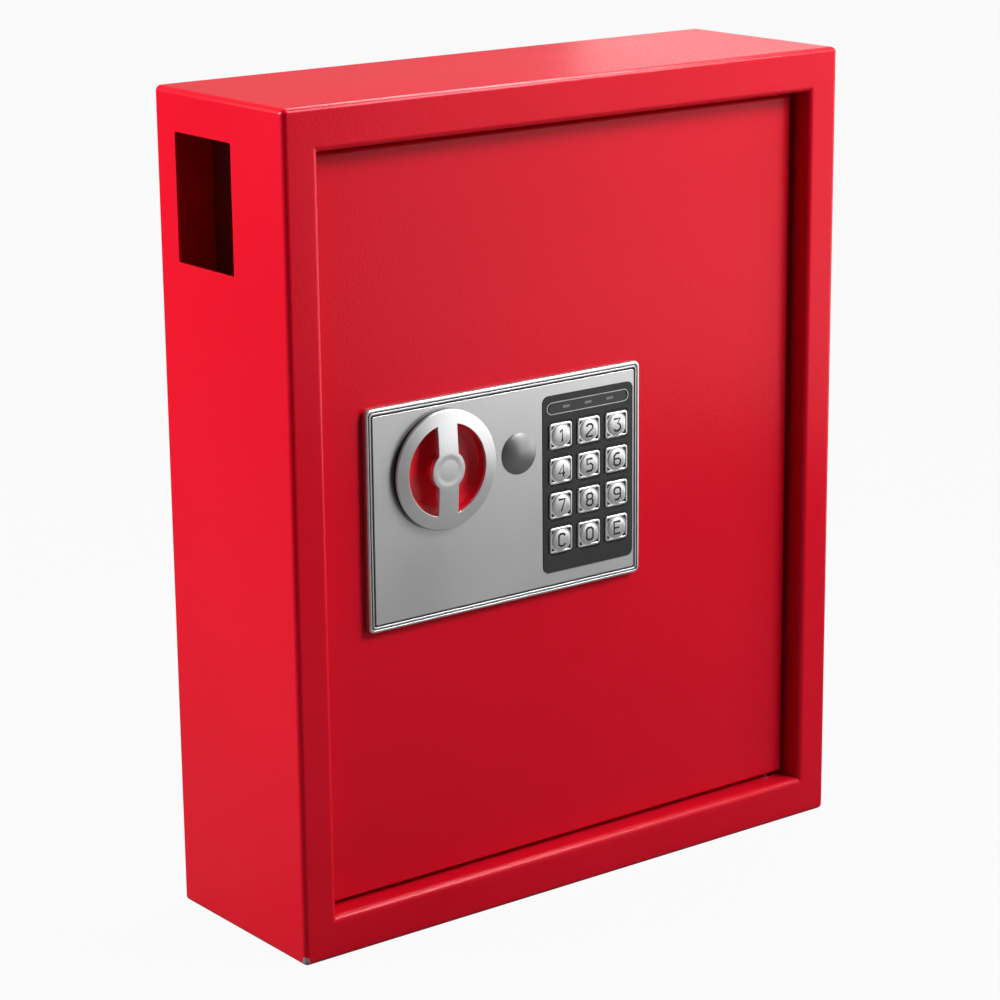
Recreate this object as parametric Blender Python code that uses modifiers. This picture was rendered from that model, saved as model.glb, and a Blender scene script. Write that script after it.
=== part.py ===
"""Electronic key cabinet for a wall.

A folded steel body with a picture-frame front, a recessed door on concealed pins,
a keypad lock with a turning knob, and a drop slot in the left side.
Metres, +Z up. The front faces -Y, and the origin is the middle of the base.
"""
import math

import bmesh
import bpy
from mathutils import Matrix, Vector

MM = 0.001

# Cabinet body
CABINET_WIDTH = 300 * MM
CABINET_DEPTH = 95 * MM
CABINET_HEIGHT = 365 * MM
BODY_SHEET = 1.5 * MM
FRAME_STILE_WIDTH = 17 * MM
FRAME_RAIL_WIDTH = 19 * MM
FRAME_RETURN_DEPTH = 20 * MM
OUTER_FOLD_RADIUS = 2.5 * MM
OPENING_FOLD_RADIUS = 3 * MM
FOLD_SEGMENTS = 3

# Fits shared by all pieces
SEAT_GAP = 0.3 * MM
RUNNING_GAP = 0.35 * MM
CUT_OVERRUN = 4 * MM
WELD_OVERLAP = 0.4 * MM

# Drop slot and chute
SLOT_WIDTH = 42 * MM
SLOT_HEIGHT = 55 * MM
SLOT_FRONT_SETBACK = 39 * MM
SLOT_TOP_SETBACK = 18 * MM
CHUTE_INSET = 26 * MM
CHUTE_SHEET = 1.2 * MM
CHUTE_LEAD = 3 * MM
CHUTE_DROP = 30 * MM
CHUTE_FOOT = 8 * MM

# Back panel
BACK_SHEET = 1.5 * MM
WALL_HOLE_DIAMETER = 8 * MM
WALL_HOLE_SIDE_SETBACK = 62 * MM
WALL_HOLE_END_SETBACK = 30 * MM

# Key rails and hook bars
RAIL_WIDTH = 14 * MM
RAIL_DEPTH = 8 * MM
RAIL_SHEET = 1.2 * MM
RAIL_END_SETBACK = 22 * MM
RAIL_SIDE_CLEARANCE = 6 * MM
HOOK_BAR_COUNT = 5
HOOK_BAR_HEIGHT = 14 * MM
HOOK_BAR_SHEET = 1.5 * MM
HOOK_BAR_PITCH = 60 * MM
TOP_BAR_SETBACK = 42 * MM
HOOKS_PER_BAR = 8
HOOK_WIRE_DIAMETER = 2.4 * MM
HOOK_REACH = 12 * MM
HOOK_RISE = 5 * MM
HOOK_BEND = 2 * MM

# Door
DOOR_SHEET = 1.5 * MM
DOOR_SETBACK = 9.5 * MM
DOOR_GAP = 1.8 * MM
DOOR_DEPTH = 24 * MM
DOOR_FOLD_RADIUS = 1.8 * MM

# Concealed hinge
HINGE_INSET = 8.5 * MM
HINGE_BEHIND_FACE = 5.5 * MM
PIN_DIAMETER = 4.5 * MM
PIN_COLLAR_DIAMETER = 6.8 * MM
PIN_COLLAR_HEIGHT = 8 * MM
PIN_TIP_CHAMFER = 0.6 * MM
BUSH_WALL = 0.9 * MM
BUSH_HEAD_WALL = 2.2 * MM
BUSH_HEAD_HEIGHT = 0.8 * MM
PIN_PROUD = 1.4 * MM

# Lock panel
PANEL_WIDTH = 148 * MM
PANEL_HEIGHT = 97.2 * MM
PANEL_PROUD = 3 * MM
PANEL_LEFT_SETBACK = 41.4 * MM
PANEL_BASE_HEIGHT = 138.2 * MM
PANEL_CORNER_RADIUS = 2.5 * MM
PANEL_EDGE_ROUND = 0.7 * MM
PANEL_RIM_WIDTH = 2.5 * MM
GROOVE_WIDTH = 0.9 * MM
GROOVE_DEPTH = 0.7 * MM

# Keypad
FASCIA_WIDTH = 50.5 * MM
FASCIA_HEIGHT = 79.5 * MM
FASCIA_SHEET = 0.8 * MM
FASCIA_PROUD = 0.2 * MM
FASCIA_CORNER_RADIUS = 3 * MM
FASCIA_RIGHT_MARGIN = 4.3 * MM
FASCIA_BASE_MARGIN = 9 * MM
FASCIA_LEDGE = 1.8 * MM
KEY_PITCH = 15.7 * MM
KEY_ROWS = (("1", "2", "3"), ("4", "5", "6"), ("7", "8", "9"), ("c", "0", "e"))
KEY_BASE_MARGIN = 14.3 * MM
KEY_SIZE = 13 * MM
KEY_CORNER_RADIUS = 1.6 * MM
KEY_PROUD = 1.3 * MM
KEY_EDGE_STEP = 0.5 * MM
KEY_PAD_DIAMETER = 11 * MM
KEY_PAD_RISE = 0.5 * MM
KEY_SKIRT_WALL = 0.8 * MM
KEY_SKIRT_SHEET = 0.8 * MM
KEY_TRAVEL = 0.8 * MM
WINDOW_WIDTH = 43.7 * MM
WINDOW_HEIGHT = 4.6 * MM
WINDOW_TOP_MARGIN = 3.3 * MM
WINDOW_FLANGE = 0.7 * MM
LAMP_DIAMETER = 3 * MM
LAMP_HEIGHT = 2.6 * MM
LAMP_PITCH = 11.5 * MM
MAT_SHEET = 1.2 * MM
MAT_DOME_DIAMETER = 6 * MM
BOARD_SHEET = 1.6 * MM
BOARD_MARGIN = 1.5 * MM
BOARD_CHIP_SIZE = 14 * MM
BOARD_CHIP_HEIGHT = 1.8 * MM

# Knob
KNOB_RIGHT_OF_PANEL_EDGE = 39.5 * MM
KNOB_BELOW_PANEL_TOP = 31.3 * MM
KNOB_DIAMETER = 52.5 * MM
KNOB_OPENING_DIAMETER = 41.5 * MM
KNOB_BAR_WIDTH = 10 * MM
KNOB_HUB_DIAMETER = 17 * MM
KNOB_DIMPLE_DIAMETER = 10 * MM
KNOB_DIMPLE_DEPTH = 0.6 * MM
KNOB_PROUD = 4.5 * MM
KNOB_FACE_SHEET = 2.4 * MM
KNOB_SKIRT_WALL = 1.3 * MM
KNOB_EDGE_ROUND = 1 * MM
KNOB_BAR_SINK = 0.2 * MM
CUP_WALL = 1 * MM
CUP_LIP_WIDTH = 2.6 * MM
CUP_DEPTH = 5.1 * MM
CUP_FLOOR_DIAMETER = 33 * MM
CUP_BOSS_DIAMETER = 13 * MM
CUP_HOLE_GAP = 1.2 * MM
KNOB_STEPS = 48

# Bolt work
SPINDLE_DIAMETER = 8 * MM
BOLT_DIAMETER = 9 * MM
BOLT_SHEET_CLEARANCE = 1.2 * MM
BOLT_THROW = 12 * MM
BOLT_SPREAD = 64 * MM
BOLT_LENGTH = 33 * MM
BOLT_TIP_INSET = 0.6 * MM
BOLT_TIP_CHAMFER = 1 * MM
BOLT_PLATE_SHEET = 2 * MM
BOLT_PLATE_LENGTH = 62 * MM
BOLT_PLATE_HEIGHT = 84 * MM
BOLT_PLATE_SETBACK = 3.3 * MM
BOLT_PLATE_FLANGE = 12 * MM
CAM_SHEET = 3 * MM
CAM_BOSS_DIAMETER = 13 * MM
CAM_PIN_DIAMETER = 4 * MM
CAM_PIN_PROUD = 6 * MM
CAM_SLOT_SLACK = 0.25 * MM
CAM_START_ANGLE = math.radians(45)
STUD_DIAMETER = 5 * MM
STUD_HEAD_DIAMETER = 9 * MM
STUD_HEAD_HEIGHT = 1.7 * MM
STUD_SPREAD = 52 * MM
STUD_RIGHT_OF_KNOB = 11 * MM
MECHANISM_SHEET = 1.5 * MM
MECHANISM_WIDTH = 104 * MM
MECHANISM_EDGE_GAP = 1.2 * MM

# Solenoid
SOLENOID_WIDTH = 20 * MM
SOLENOID_HEIGHT = 24 * MM
SOLENOID_EDGE_ROUND = 1.2 * MM
SOLENOID_COVER_GAP = 1 * MM
PLUNGER_DIAMETER = 6 * MM
PLUNGER_STAND = 11.5 * MM
PLUNGER_SINK = 16 * MM
PLUNGER_COLLAR_DIAMETER = 10 * MM
PLUNGER_COLLAR_HEIGHT = 1.5 * MM
PLUNGER_COLLAR_DROP = 3 * MM
PLUNGER_TRAVEL = 1.5 * MM
SPRING_WIRE_DIAMETER = 0.7 * MM
SPRING_TURNS = 4
SPRING_POINTS_PER_TURN = 10

# Emergency lock and its cap
KEYHOLE_RIGHT_OF_KNOB = 40.6 * MM
CAP_DIAMETER = 20 * MM
CAP_RISE = 2.2 * MM
CAP_EDGE = 0.8 * MM
CAP_PLUG_DIAMETER = 15 * MM
CAP_PLUG_LENGTH = 2 * MM
LOCK_BODY_DIAMETER = 16 * MM
LOCK_NUT_DIAMETER = 21 * MM
LOCK_NUT_HEIGHT = 3 * MM
LOCK_CORE_DIAMETER = 9 * MM
LOCK_CORE_SETBACK = 0.4 * MM
KEYWAY_WIDTH = 1.4 * MM
KEYWAY_HEIGHT = 6 * MM
KEYWAY_DEPTH = 12 * MM
LOCK_TAIL_LENGTH = 13 * MM
LOCK_TAIL_WIDTH = 6 * MM
LOCK_TAIL_SHEET = 1.4 * MM

# Inner cover
COVER_SHEET = 1 * MM
COVER_DEPTH = 25.2 * MM
COVER_RIM = 6 * MM
COVER_RIGHT_REACH = 20 * MM
COVER_TOP_REACH = 14 * MM
COVER_BASE_REACH = 16 * MM
COVER_FOLD_RADIUS = 1.5 * MM
COVER_NUT_DIAMETER = 5.4 * MM
COVER_NUT_HEIGHT = 2.4 * MM
COVER_STUD_DIAMETER = 2.6 * MM
COVER_STUD_PROUD = 5 * MM

# Battery compartment
CELL_DIAMETER = 14.2 * MM
CELL_LENGTH = 49 * MM
CELL_TIP_DIAMETER = 5.4 * MM
CELL_TIP_LENGTH = 1.2 * MM
CELL_COUNT = 4
CELL_GAP = 0.8 * MM
TRAY_WALL = 1.2 * MM
TRAY_END_GAP = 1.6 * MM
TRAY_BOARD_GAP = 4.5 * MM
BATTERY_DOOR_LAP = 3 * MM
BATTERY_DOOR_SHEET = 1.4 * MM
BATTERY_DOOR_RIDGE = 1 * MM
BATTERY_DOOR_RIDGES = 3
RESET_DIAMETER = 6 * MM
RESET_FLANGE_DIAMETER = 9 * MM
RESET_FLANGE_HEIGHT = 1 * MM
RESET_PROUD = 1.8 * MM
RESET_TOP_OFFSET = 10 * MM

# Leads inside the cover
LEAD_DIAMETER = 1.8 * MM
LEAD_LOOP = 6 * MM

# Planes and centres that follow from the sizes above
FRONT_Y = -CABINET_DEPTH / 2
BACK_Y = CABINET_DEPTH / 2
LEFT_X = -CABINET_WIDTH / 2
RIGHT_X = CABINET_WIDTH / 2
OPENING_LEFT = LEFT_X + FRAME_STILE_WIDTH
OPENING_RIGHT = RIGHT_X - FRAME_STILE_WIDTH
OPENING_BASE = FRAME_RAIL_WIDTH
OPENING_TOP = CABINET_HEIGHT - FRAME_RAIL_WIDTH
DOOR_LEFT = OPENING_LEFT + DOOR_GAP
DOOR_RIGHT = OPENING_RIGHT - DOOR_GAP
DOOR_BASE = OPENING_BASE + DOOR_GAP
DOOR_TOP = OPENING_TOP - DOOR_GAP
DOOR_FACE_Y = FRONT_Y + DOOR_SETBACK
DOOR_INNER_Y = DOOR_FACE_Y + DOOR_SHEET
DOOR_REAR_Y = DOOR_FACE_Y + DOOR_DEPTH
HINGE_X = OPENING_RIGHT - HINGE_INSET
HINGE_Y = DOOR_FACE_Y + HINGE_BEHIND_FACE
BACK_PANEL_FRONT_Y = BACK_Y - BACK_SHEET
PANEL_FACE_Y = DOOR_FACE_Y - PANEL_PROUD
PANEL_LEFT = LEFT_X + PANEL_LEFT_SETBACK
PANEL_TOP = PANEL_BASE_HEIGHT + PANEL_HEIGHT
PANEL_X = PANEL_LEFT + PANEL_WIDTH / 2
PANEL_Z = PANEL_BASE_HEIGHT + PANEL_HEIGHT / 2
KNOB_X = PANEL_LEFT + KNOB_RIGHT_OF_PANEL_EDGE
KNOB_Z = PANEL_TOP - KNOB_BELOW_PANEL_TOP
KEYHOLE_X = KNOB_X + KEYHOLE_RIGHT_OF_KNOB
FASCIA_X = PANEL_LEFT + PANEL_WIDTH - FASCIA_RIGHT_MARGIN - FASCIA_WIDTH / 2
FASCIA_BASE = PANEL_BASE_HEIGHT + FASCIA_BASE_MARGIN
FASCIA_Z = FASCIA_BASE + FASCIA_HEIGHT / 2
FASCIA_FACE_Y = PANEL_FACE_Y - FASCIA_PROUD
FASCIA_BACK_Y = FASCIA_FACE_Y + FASCIA_SHEET
WINDOW_Z = FASCIA_BASE + FASCIA_HEIGHT - WINDOW_TOP_MARGIN - WINDOW_HEIGHT / 2
MECHANISM_Y = DOOR_INNER_Y + SEAT_GAP
MECHANISM_BACK_Y = MECHANISM_Y + MECHANISM_SHEET
BOLT_Y = FRONT_Y + FRAME_RETURN_DEPTH + BOLT_SHEET_CLEARANCE + BOLT_DIAMETER / 2
BOLT_PLATE_Y = BOLT_Y + BOLT_PLATE_SETBACK
BOLT_TIP_X = DOOR_LEFT + BOLT_TIP_INSET
BOLT_TAIL_X = BOLT_TIP_X + BOLT_LENGTH
COVER_Y = DOOR_INNER_Y + SEAT_GAP
COVER_BACK_Y = COVER_Y + COVER_DEPTH
COVER_LEFT = DOOR_LEFT + DOOR_SHEET + SEAT_GAP + COVER_RIM
COVER_RIGHT = FASCIA_X + FASCIA_WIDTH / 2 + COVER_RIGHT_REACH
COVER_BASE = PANEL_BASE_HEIGHT - COVER_BASE_REACH
COVER_TOP = PANEL_TOP + COVER_TOP_REACH
FACING_FRONT = (math.radians(90), 0, 0)
FACING_BACK = (math.radians(-90), 0, 0)
FACING_LEFT = (0, math.radians(-90), 0)


def collection(name):
    """Make a collection in the scene."""
    made = bpy.data.collections.new(name)
    bpy.context.scene.collection.children.link(made)
    return made


def paint(name, colour, roughness, metallic=0.0):
    """A plain material with the piece's colour, gloss and metal value."""
    material = bpy.data.materials.new(name)
    material.use_nodes = True
    shader = material.node_tree.nodes["Principled BSDF"]
    shader.inputs["Base Color"].default_value = (*colour, 1.0)
    shader.inputs["Roughness"].default_value = roughness
    shader.inputs["Metallic"].default_value = metallic
    return material


def place(name, mesh, material, location=(0, 0, 0), rotation=(0, 0, 0)):
    """Put a mesh in the cabinet's collection as a named piece."""
    piece = bpy.data.objects.new(name, mesh)
    piece.location = location
    piece.rotation_euler = rotation
    if material is None:
        CUTTERS.objects.link(piece)
        piece.hide_render = True
        piece.display_type = "WIRE"
    else:
        PARTS.objects.link(piece)
        mesh.materials.clear()
        mesh.materials.append(material)
    bpy.context.view_layer.update()
    return piece


def finish_mesh(name, bm):
    """Turn a bmesh into a mesh with its faces pointing out."""
    bmesh.ops.recalc_face_normals(bm, faces=bm.faces)
    mesh = bpy.data.meshes.new(name)
    bm.to_mesh(mesh)
    bm.free()
    return mesh


def smooth(piece, angle=math.radians(35)):
    """Shade a round piece smooth, with its hard corners kept."""
    piece.data.shade_smooth()
    piece.data.set_sharp_from_angle(angle=angle)
    return piece


def block(name, low, high, material, rounding=0, segments=2):
    """A box between two corners, with its edges rounded if asked."""
    low, high = Vector(low), Vector(high)
    bm = bmesh.new()
    bmesh.ops.create_cube(bm, size=1)
    bmesh.ops.scale(bm, vec=high - low, verts=bm.verts)
    if rounding > 0:
        bmesh.ops.bevel(bm, geom=bm.edges[:], offset=rounding, segments=segments, profile=0.5, affect="EDGES")
    return place(name, finish_mesh(name, bm), material, (low + high) / 2)


def rod(name, start, length, diameter, material, rotation, sides=24, chamfer=0):
    """A round bar from a start point, along the local Z of its rotation."""
    bm = bmesh.new()
    bmesh.ops.create_cone(bm, cap_ends=True, segments=sides, radius1=diameter / 2, radius2=diameter / 2,
                          depth=length, matrix=Matrix.Translation((0, 0, length / 2)))
    if chamfer > 0:
        rims = [e for e in bm.edges if all(v.co.z > length / 2 for v in e.verts)]
        bmesh.ops.bevel(bm, geom=rims, offset=chamfer, segments=1, profile=0.5, affect="EDGES")
    return smooth(place(name, finish_mesh(name, bm), material, start, rotation))


def turned(name, profile, place_at, material, rotation, steps=32, closed=False):
    """A turned piece from (radius, height) points that run down its outer side."""
    mesh = bpy.data.meshes.new(name)
    edges = [(i, i + 1) for i in range(len(profile) - 1)]
    if closed:
        edges.append((len(profile) - 1, 0))
    mesh.from_pydata([(radius, 0, height) for radius, height in profile], edges, [])
    piece = place(name, mesh, material, place_at, rotation)
    screw = piece.modifiers.new("Turn", "SCREW")
    screw.steps = steps
    screw.render_steps = steps
    screw.use_merge_vertices = True
    screw.merge_threshold = SEAT_GAP / 100
    screw.use_smooth_shade = True
    return piece


def arc(radius_at, height_at, radius, start, end, points):
    """Points of a round corner in a turned profile."""
    turn = (end - start) / points
    return [(radius_at + radius * math.cos(math.radians(start + turn * i)),
             height_at + radius * math.sin(math.radians(start + turn * i))) for i in range(points + 1)]


def baked(piece, name=None):
    """Replace a piece by a plain mesh of what its modifiers make."""
    graph = bpy.context.evaluated_depsgraph_get()
    mesh = bpy.data.meshes.new_from_object(piece.evaluated_get(graph))
    if piece.type == "CURVE":
        bm = bmesh.new()
        bm.from_mesh(mesh)
        bmesh.ops.remove_doubles(bm, verts=bm.verts, dist=SEAT_GAP / 100)
        bmesh.ops.recalc_face_normals(bm, faces=bm.faces)
        bm.to_mesh(mesh)
        bm.free()
    if name is None:
        piece.modifiers.clear()
        piece.data = mesh
        return piece
    material = piece.data.materials[0] if piece.data.materials else None
    copy = place(name, mesh, material)
    copy.matrix_world = piece.matrix_world.copy()
    bpy.data.objects.remove(piece)
    return copy


def rounded_outline(bm, width, height, corner, corner_segments=4):
    """A flat face in the XZ plane with rounded corners, facing -Y."""
    turn = Matrix.Rotation(math.radians(90), 4, "X")
    bmesh.ops.create_grid(bm, x_segments=1, y_segments=1, size=1 / 2, matrix=turn)
    bmesh.ops.scale(bm, vec=(width, 1, height), verts=bm.verts)
    if corner > 0:
        bmesh.ops.bevel(bm, geom=bm.verts[:], offset=corner, segments=corner_segments, profile=0.5,
                        affect="VERTICES")
    return bm.faces[:]


def push(bm, faces, depth):
    """Extrude faces along Y and return the moved ones."""
    moved = bmesh.ops.extrude_face_region(bm, geom=faces)["geom"]
    left_inside = [f for f in faces if any(len(e.link_faces) > 2 for e in f.edges)]
    bmesh.ops.delete(bm, geom=left_inside, context="FACES_ONLY")
    verts = [g for g in moved if isinstance(g, bmesh.types.BMVert)]
    bmesh.ops.translate(bm, vec=(0, depth, 0), verts=verts)
    return [g for g in moved if isinstance(g, bmesh.types.BMFace)]


def plate(name, width, height, corner, face_y, thickness, centre, material, edge_round=0, corner_segments=4):
    """A plate with rounded corners whose face looks to the front at face_y."""
    bm = bmesh.new()
    rear = rounded_outline(bm, width, height, corner, corner_segments)
    bmesh.ops.translate(bm, vec=(0, thickness, 0), verts=bm.verts)
    face = push(bm, rear, -thickness)
    if edge_round > 0:
        rims = [e for f in face for e in f.edges]
        bmesh.ops.bevel(bm, geom=rims, offset=edge_round, segments=2, profile=0.5, affect="EDGES")
    return place(name, finish_mesh(name, bm), material, (centre[0], face_y, centre[1]))


def stepped_plate(name, outline, skirt_wall, skirt_sheet, rise, edge_step, face_y, centre, material):
    """A key or lens: a wide skirt behind and a narrower cap in front of it."""
    width, height, corner = outline
    bm = bmesh.new()
    rear = rounded_outline(bm, width + 2 * skirt_wall, height + 2 * skirt_wall, corner + skirt_wall, 2)
    bmesh.ops.translate(bm, vec=(0, rise + skirt_sheet, 0), verts=bm.verts)
    shoulder = push(bm, rear, -skirt_sheet)
    bmesh.ops.inset_region(bm, faces=shoulder, thickness=skirt_wall, use_even_offset=True)
    face = push(bm, shoulder, edge_step - rise)
    if edge_step > 0:
        face = push(bm, face, -edge_step)
        hub = sum((v.co for v in face[0].verts), Vector()) / len(face[0].verts)
        shrink = (1 - 2 * edge_step / width, 1, 1 - 2 * edge_step / height)
        bmesh.ops.scale(bm, vec=shrink, space=Matrix.Translation(-hub), verts=face[0].verts[:])
    return place(name, finish_mesh(name, bm), material, (centre[0], face_y, centre[1]))


def folded_strip(name, path, low_z, high_z, sheet, material):
    """Sheet metal folded in plan along the path of its middle line."""
    bm = bmesh.new()
    verts = [bm.verts.new((x, y, low_z)) for x, y in path]
    edges = [bm.edges.new(pair) for pair in zip(verts, verts[1:])]
    raised = bmesh.ops.extrude_edge_only(bm, edges=edges)["geom"]
    bmesh.ops.translate(bm, vec=(0, 0, high_z - low_z), verts=[g for g in raised if isinstance(g, bmesh.types.BMVert)])
    piece = place(name, finish_mesh(name, bm), material)
    thicken(piece, sheet, 0)
    return piece


def thicken(piece, sheet, side):
    """Give an open surface the thickness of its sheet."""
    solid = piece.modifiers.new("Sheet", "SOLIDIFY")
    solid.thickness = sheet
    solid.offset = side
    solid.use_even_offset = True
    return piece


def cut(piece, cutter):
    """Cut one piece with a hidden cutter."""
    tool = piece.modifiers.new("Cut " + cutter.name, "BOOLEAN")
    tool.operation = "DIFFERENCE"
    tool.solver = "EXACT"
    tool.object = cutter
    return piece


def weld(piece, other):
    """Join a hidden solid to a piece as one body."""
    tool = piece.modifiers.new("Weld " + other.name, "BOOLEAN")
    tool.operation = "UNION"
    tool.solver = "EXACT"
    tool.object = other
    return piece


def hole(piece, name, centre, diameter, length, rotation, sides=24):
    """Cut a round hole along the rotation's local Z, centred on a point."""
    axis = Matrix.Rotation(rotation[0], 3, "X") @ Matrix.Rotation(rotation[1], 3, "Y") @ Vector((0, 0, 1))
    start = Vector(centre) - axis * length / 2
    return cut(piece, rod(name, start, length, diameter, None, rotation, sides))


def axis_empty(name, location):
    """An empty on a joint's axis, which carries the pieces that move with it."""
    empty = bpy.data.objects.new(name, None)
    empty.location = location
    PARTS.objects.link(empty)
    bpy.context.view_layer.update()
    return empty


def carry(parent, *pieces):
    """Parent pieces to an empty and leave them where they are."""
    for piece in pieces:
        piece.parent = parent
        piece.matrix_parent_inverse = parent.matrix_world.inverted()


def sheet_pan(name, low, high, sheet, fold_radius, material, rim=0):
    """A folded pan whose flat face looks away from its open side.

    low holds the open side's corner and high the flat face's, both in X, Y and Z.
    """
    low, high = Vector(low), Vector(high)
    bm = bmesh.new()
    bmesh.ops.create_cube(bm, size=1)
    bmesh.ops.scale(bm, vec=[abs(size) for size in high - low], verts=bm.verts)
    middle = (low + high) / 2
    open_side = math.copysign(1, low.y - high.y)
    mouth = [f for f in bm.faces if f.normal.y * open_side > 0.5]
    folds = [e for e in bm.edges if e not in mouth[0].edges]
    if rim > 0:
        rim_edges = mouth[0].edges[:]
        bmesh.ops.delete(bm, geom=mouth, context="FACES_ONLY")
        widened = bmesh.ops.extrude_edge_only(bm, edges=rim_edges)["geom"]
        for vert in [g for g in widened if isinstance(g, bmesh.types.BMVert)]:
            vert.co.x += math.copysign(rim, vert.co.x)
            vert.co.z += math.copysign(rim, vert.co.z)
    else:
        bmesh.ops.delete(bm, geom=mouth, context="FACES_ONLY")
    bmesh.ops.bevel(bm, geom=folds, offset=fold_radius, segments=2, profile=0.5, affect="EDGES")
    mesh = bpy.data.meshes.new(name)
    bm.to_mesh(mesh)
    bm.free()
    return thicken(place(name, mesh, material, middle), sheet, -1)


def build_body_shell():
    """The welded body: four sides and a picture-frame front with return flanges."""
    bm = bmesh.new()
    bmesh.ops.create_cube(bm, size=1)
    bmesh.ops.scale(bm, vec=(CABINET_WIDTH, CABINET_DEPTH, CABINET_HEIGHT), verts=bm.verts)
    rear = [f for f in bm.faces if f.normal.y > 0.5]
    front = [f for f in bm.faces if f.normal.y < -0.5]
    outer_folds = [e for e in bm.edges if e not in rear[0].edges]
    bmesh.ops.delete(bm, geom=rear, context="FACES_ONLY")
    bmesh.ops.inset_region(bm, faces=front, thickness=FRAME_STILE_WIDTH, use_even_offset=True)
    for vert in front[0].verts:
        vert.co.z -= math.copysign(FRAME_RAIL_WIDTH - FRAME_STILE_WIDTH, vert.co.z)
    opening_folds = front[0].edges[:]
    inner = push(bm, front, FRAME_RETURN_DEPTH)
    bmesh.ops.delete(bm, geom=inner, context="FACES_ONLY")
    bmesh.ops.bevel(bm, geom=outer_folds, offset=OUTER_FOLD_RADIUS, segments=FOLD_SEGMENTS, profile=0.5,
                    affect="EDGES")
    opening_folds = [e for e in opening_folds if e.is_valid]
    bmesh.ops.bevel(bm, geom=opening_folds, offset=OPENING_FOLD_RADIUS, segments=FOLD_SEGMENTS, profile=0.5,
                    affect="EDGES")
    mesh = bpy.data.meshes.new("body_shell")
    bm.to_mesh(mesh)
    bm.free()
    shell = place("body_shell", mesh, RED_COAT, (0, 0, CABINET_HEIGHT / 2))
    thicken(shell, BODY_SHEET, -1)
    slot_top = CABINET_HEIGHT - SLOT_TOP_SETBACK
    slot_front = FRONT_Y + SLOT_FRONT_SETBACK
    cut(shell, block("slot_cutter", (LEFT_X - CUT_OVERRUN, slot_front, slot_top - SLOT_HEIGHT),
                     (LEFT_X + CUT_OVERRUN, slot_front + SLOT_WIDTH, slot_top), None))
    bush_hole = PIN_DIAMETER + 2 * (RUNNING_GAP + BUSH_WALL + RUNNING_GAP)
    for end, level in (("top", OPENING_TOP), ("base", OPENING_BASE)):
        hole(shell, "bush_hole_cutter_" + end, (HINGE_X, HINGE_Y, level), bush_hole, 2 * CUT_OVERRUN, (0, 0, 0))
    return smooth(shell, math.radians(20))


def build_back_panel():
    """The flat back with its four wall fixing holes."""
    inset = BODY_SHEET + SEAT_GAP
    panel = plate("back_panel", CABINET_WIDTH - 2 * inset, CABINET_HEIGHT - 2 * inset,
                  OUTER_FOLD_RADIUS - BODY_SHEET, BACK_PANEL_FRONT_Y, BACK_SHEET, (0, CABINET_HEIGHT / 2), RED_COAT,
                  corner_segments=2)
    for side in (-1, 1):
        for level in (WALL_HOLE_END_SETBACK, CABINET_HEIGHT - WALL_HOLE_END_SETBACK):
            centre = (side * (RIGHT_X - WALL_HOLE_SIDE_SETBACK), BACK_Y, level)
            name = "wall_hole_cutter_%d_%d" % (side, round(level / MM))
            hole(panel, name, centre, WALL_HOLE_DIAMETER, 2 * CUT_OVERRUN, FACING_FRONT, 16)
    return panel


def build_drop_chute():
    """The folded baffle behind the drop slot, open below so that a key falls in."""
    half = CHUTE_SHEET / 2
    inner_x = LEFT_X + CHUTE_INSET + half
    front_y = FRONT_Y + SLOT_FRONT_SETBACK - CHUTE_LEAD - half
    rear_y = BACK_PANEL_FRONT_Y - SEAT_GAP - half
    side_x = LEFT_X + BODY_SHEET + SEAT_GAP + half
    path = [(inner_x + CHUTE_FOOT, rear_y), (inner_x, rear_y), (inner_x, front_y), (side_x, front_y),
            (side_x, front_y - CHUTE_FOOT)]
    low_z = CABINET_HEIGHT - SLOT_TOP_SETBACK - SLOT_HEIGHT - CHUTE_DROP
    high_z = CABINET_HEIGHT - OUTER_FOLD_RADIUS - SEAT_GAP
    return folded_strip("drop_chute", path, low_z, high_z, CHUTE_SHEET, RED_COAT)


def rail_centres():
    """The X places of the two key rails."""
    chute_foot = LEFT_X + CHUTE_INSET + CHUTE_SHEET + CHUTE_FOOT
    left = chute_foot + RAIL_SIDE_CLEARANCE + RAIL_WIDTH / 2
    right = RIGHT_X - BODY_SHEET - RAIL_SIDE_CLEARANCE - RAIL_WIDTH / 2
    return left, right


def build_key_rails():
    """Two upright channels on the back panel that carry the hook bars."""
    half = RAIL_SHEET / 2
    rear_y = BACK_PANEL_FRONT_Y - SEAT_GAP
    web_y = rear_y - RAIL_DEPTH + half
    rails = []
    for side, x in zip(("left", "right"), rail_centres()):
        path = [(x - RAIL_WIDTH / 2 + half, rear_y), (x - RAIL_WIDTH / 2 + half, web_y),
                (x + RAIL_WIDTH / 2 - half, web_y), (x + RAIL_WIDTH / 2 - half, rear_y)]
        rails.append(folded_strip("key_rail_" + side, path, RAIL_END_SETBACK, CABINET_HEIGHT - RAIL_END_SETBACK,
                                  RAIL_SHEET, ZINC))
    return rails


def hook_wire(y):
    """One bent hook as a mesh: out from the bar, a bend, and up."""
    curve = bpy.data.curves.new("hook", "CURVE")
    curve.dimensions = "3D"
    curve.bevel_depth = HOOK_WIRE_DIAMETER / 2
    curve.bevel_resolution = 1
    curve.use_fill_caps = True
    spline = curve.splines.new("POLY")
    points = [(0, y + WELD_OVERLAP, 0), (0, y - HOOK_REACH + HOOK_BEND, 0), (0, y - HOOK_REACH, HOOK_BEND),
              (0, y - HOOK_REACH, HOOK_RISE)]
    spline.points.add(len(points) - 1)
    for point, at in zip(spline.points, points):
        point.co = (*at, 1)
    wire = bpy.data.objects.new("hook", curve)
    CUTTERS.objects.link(wire)
    bpy.context.view_layer.update()
    return baked(wire, "hook_wire").data


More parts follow.
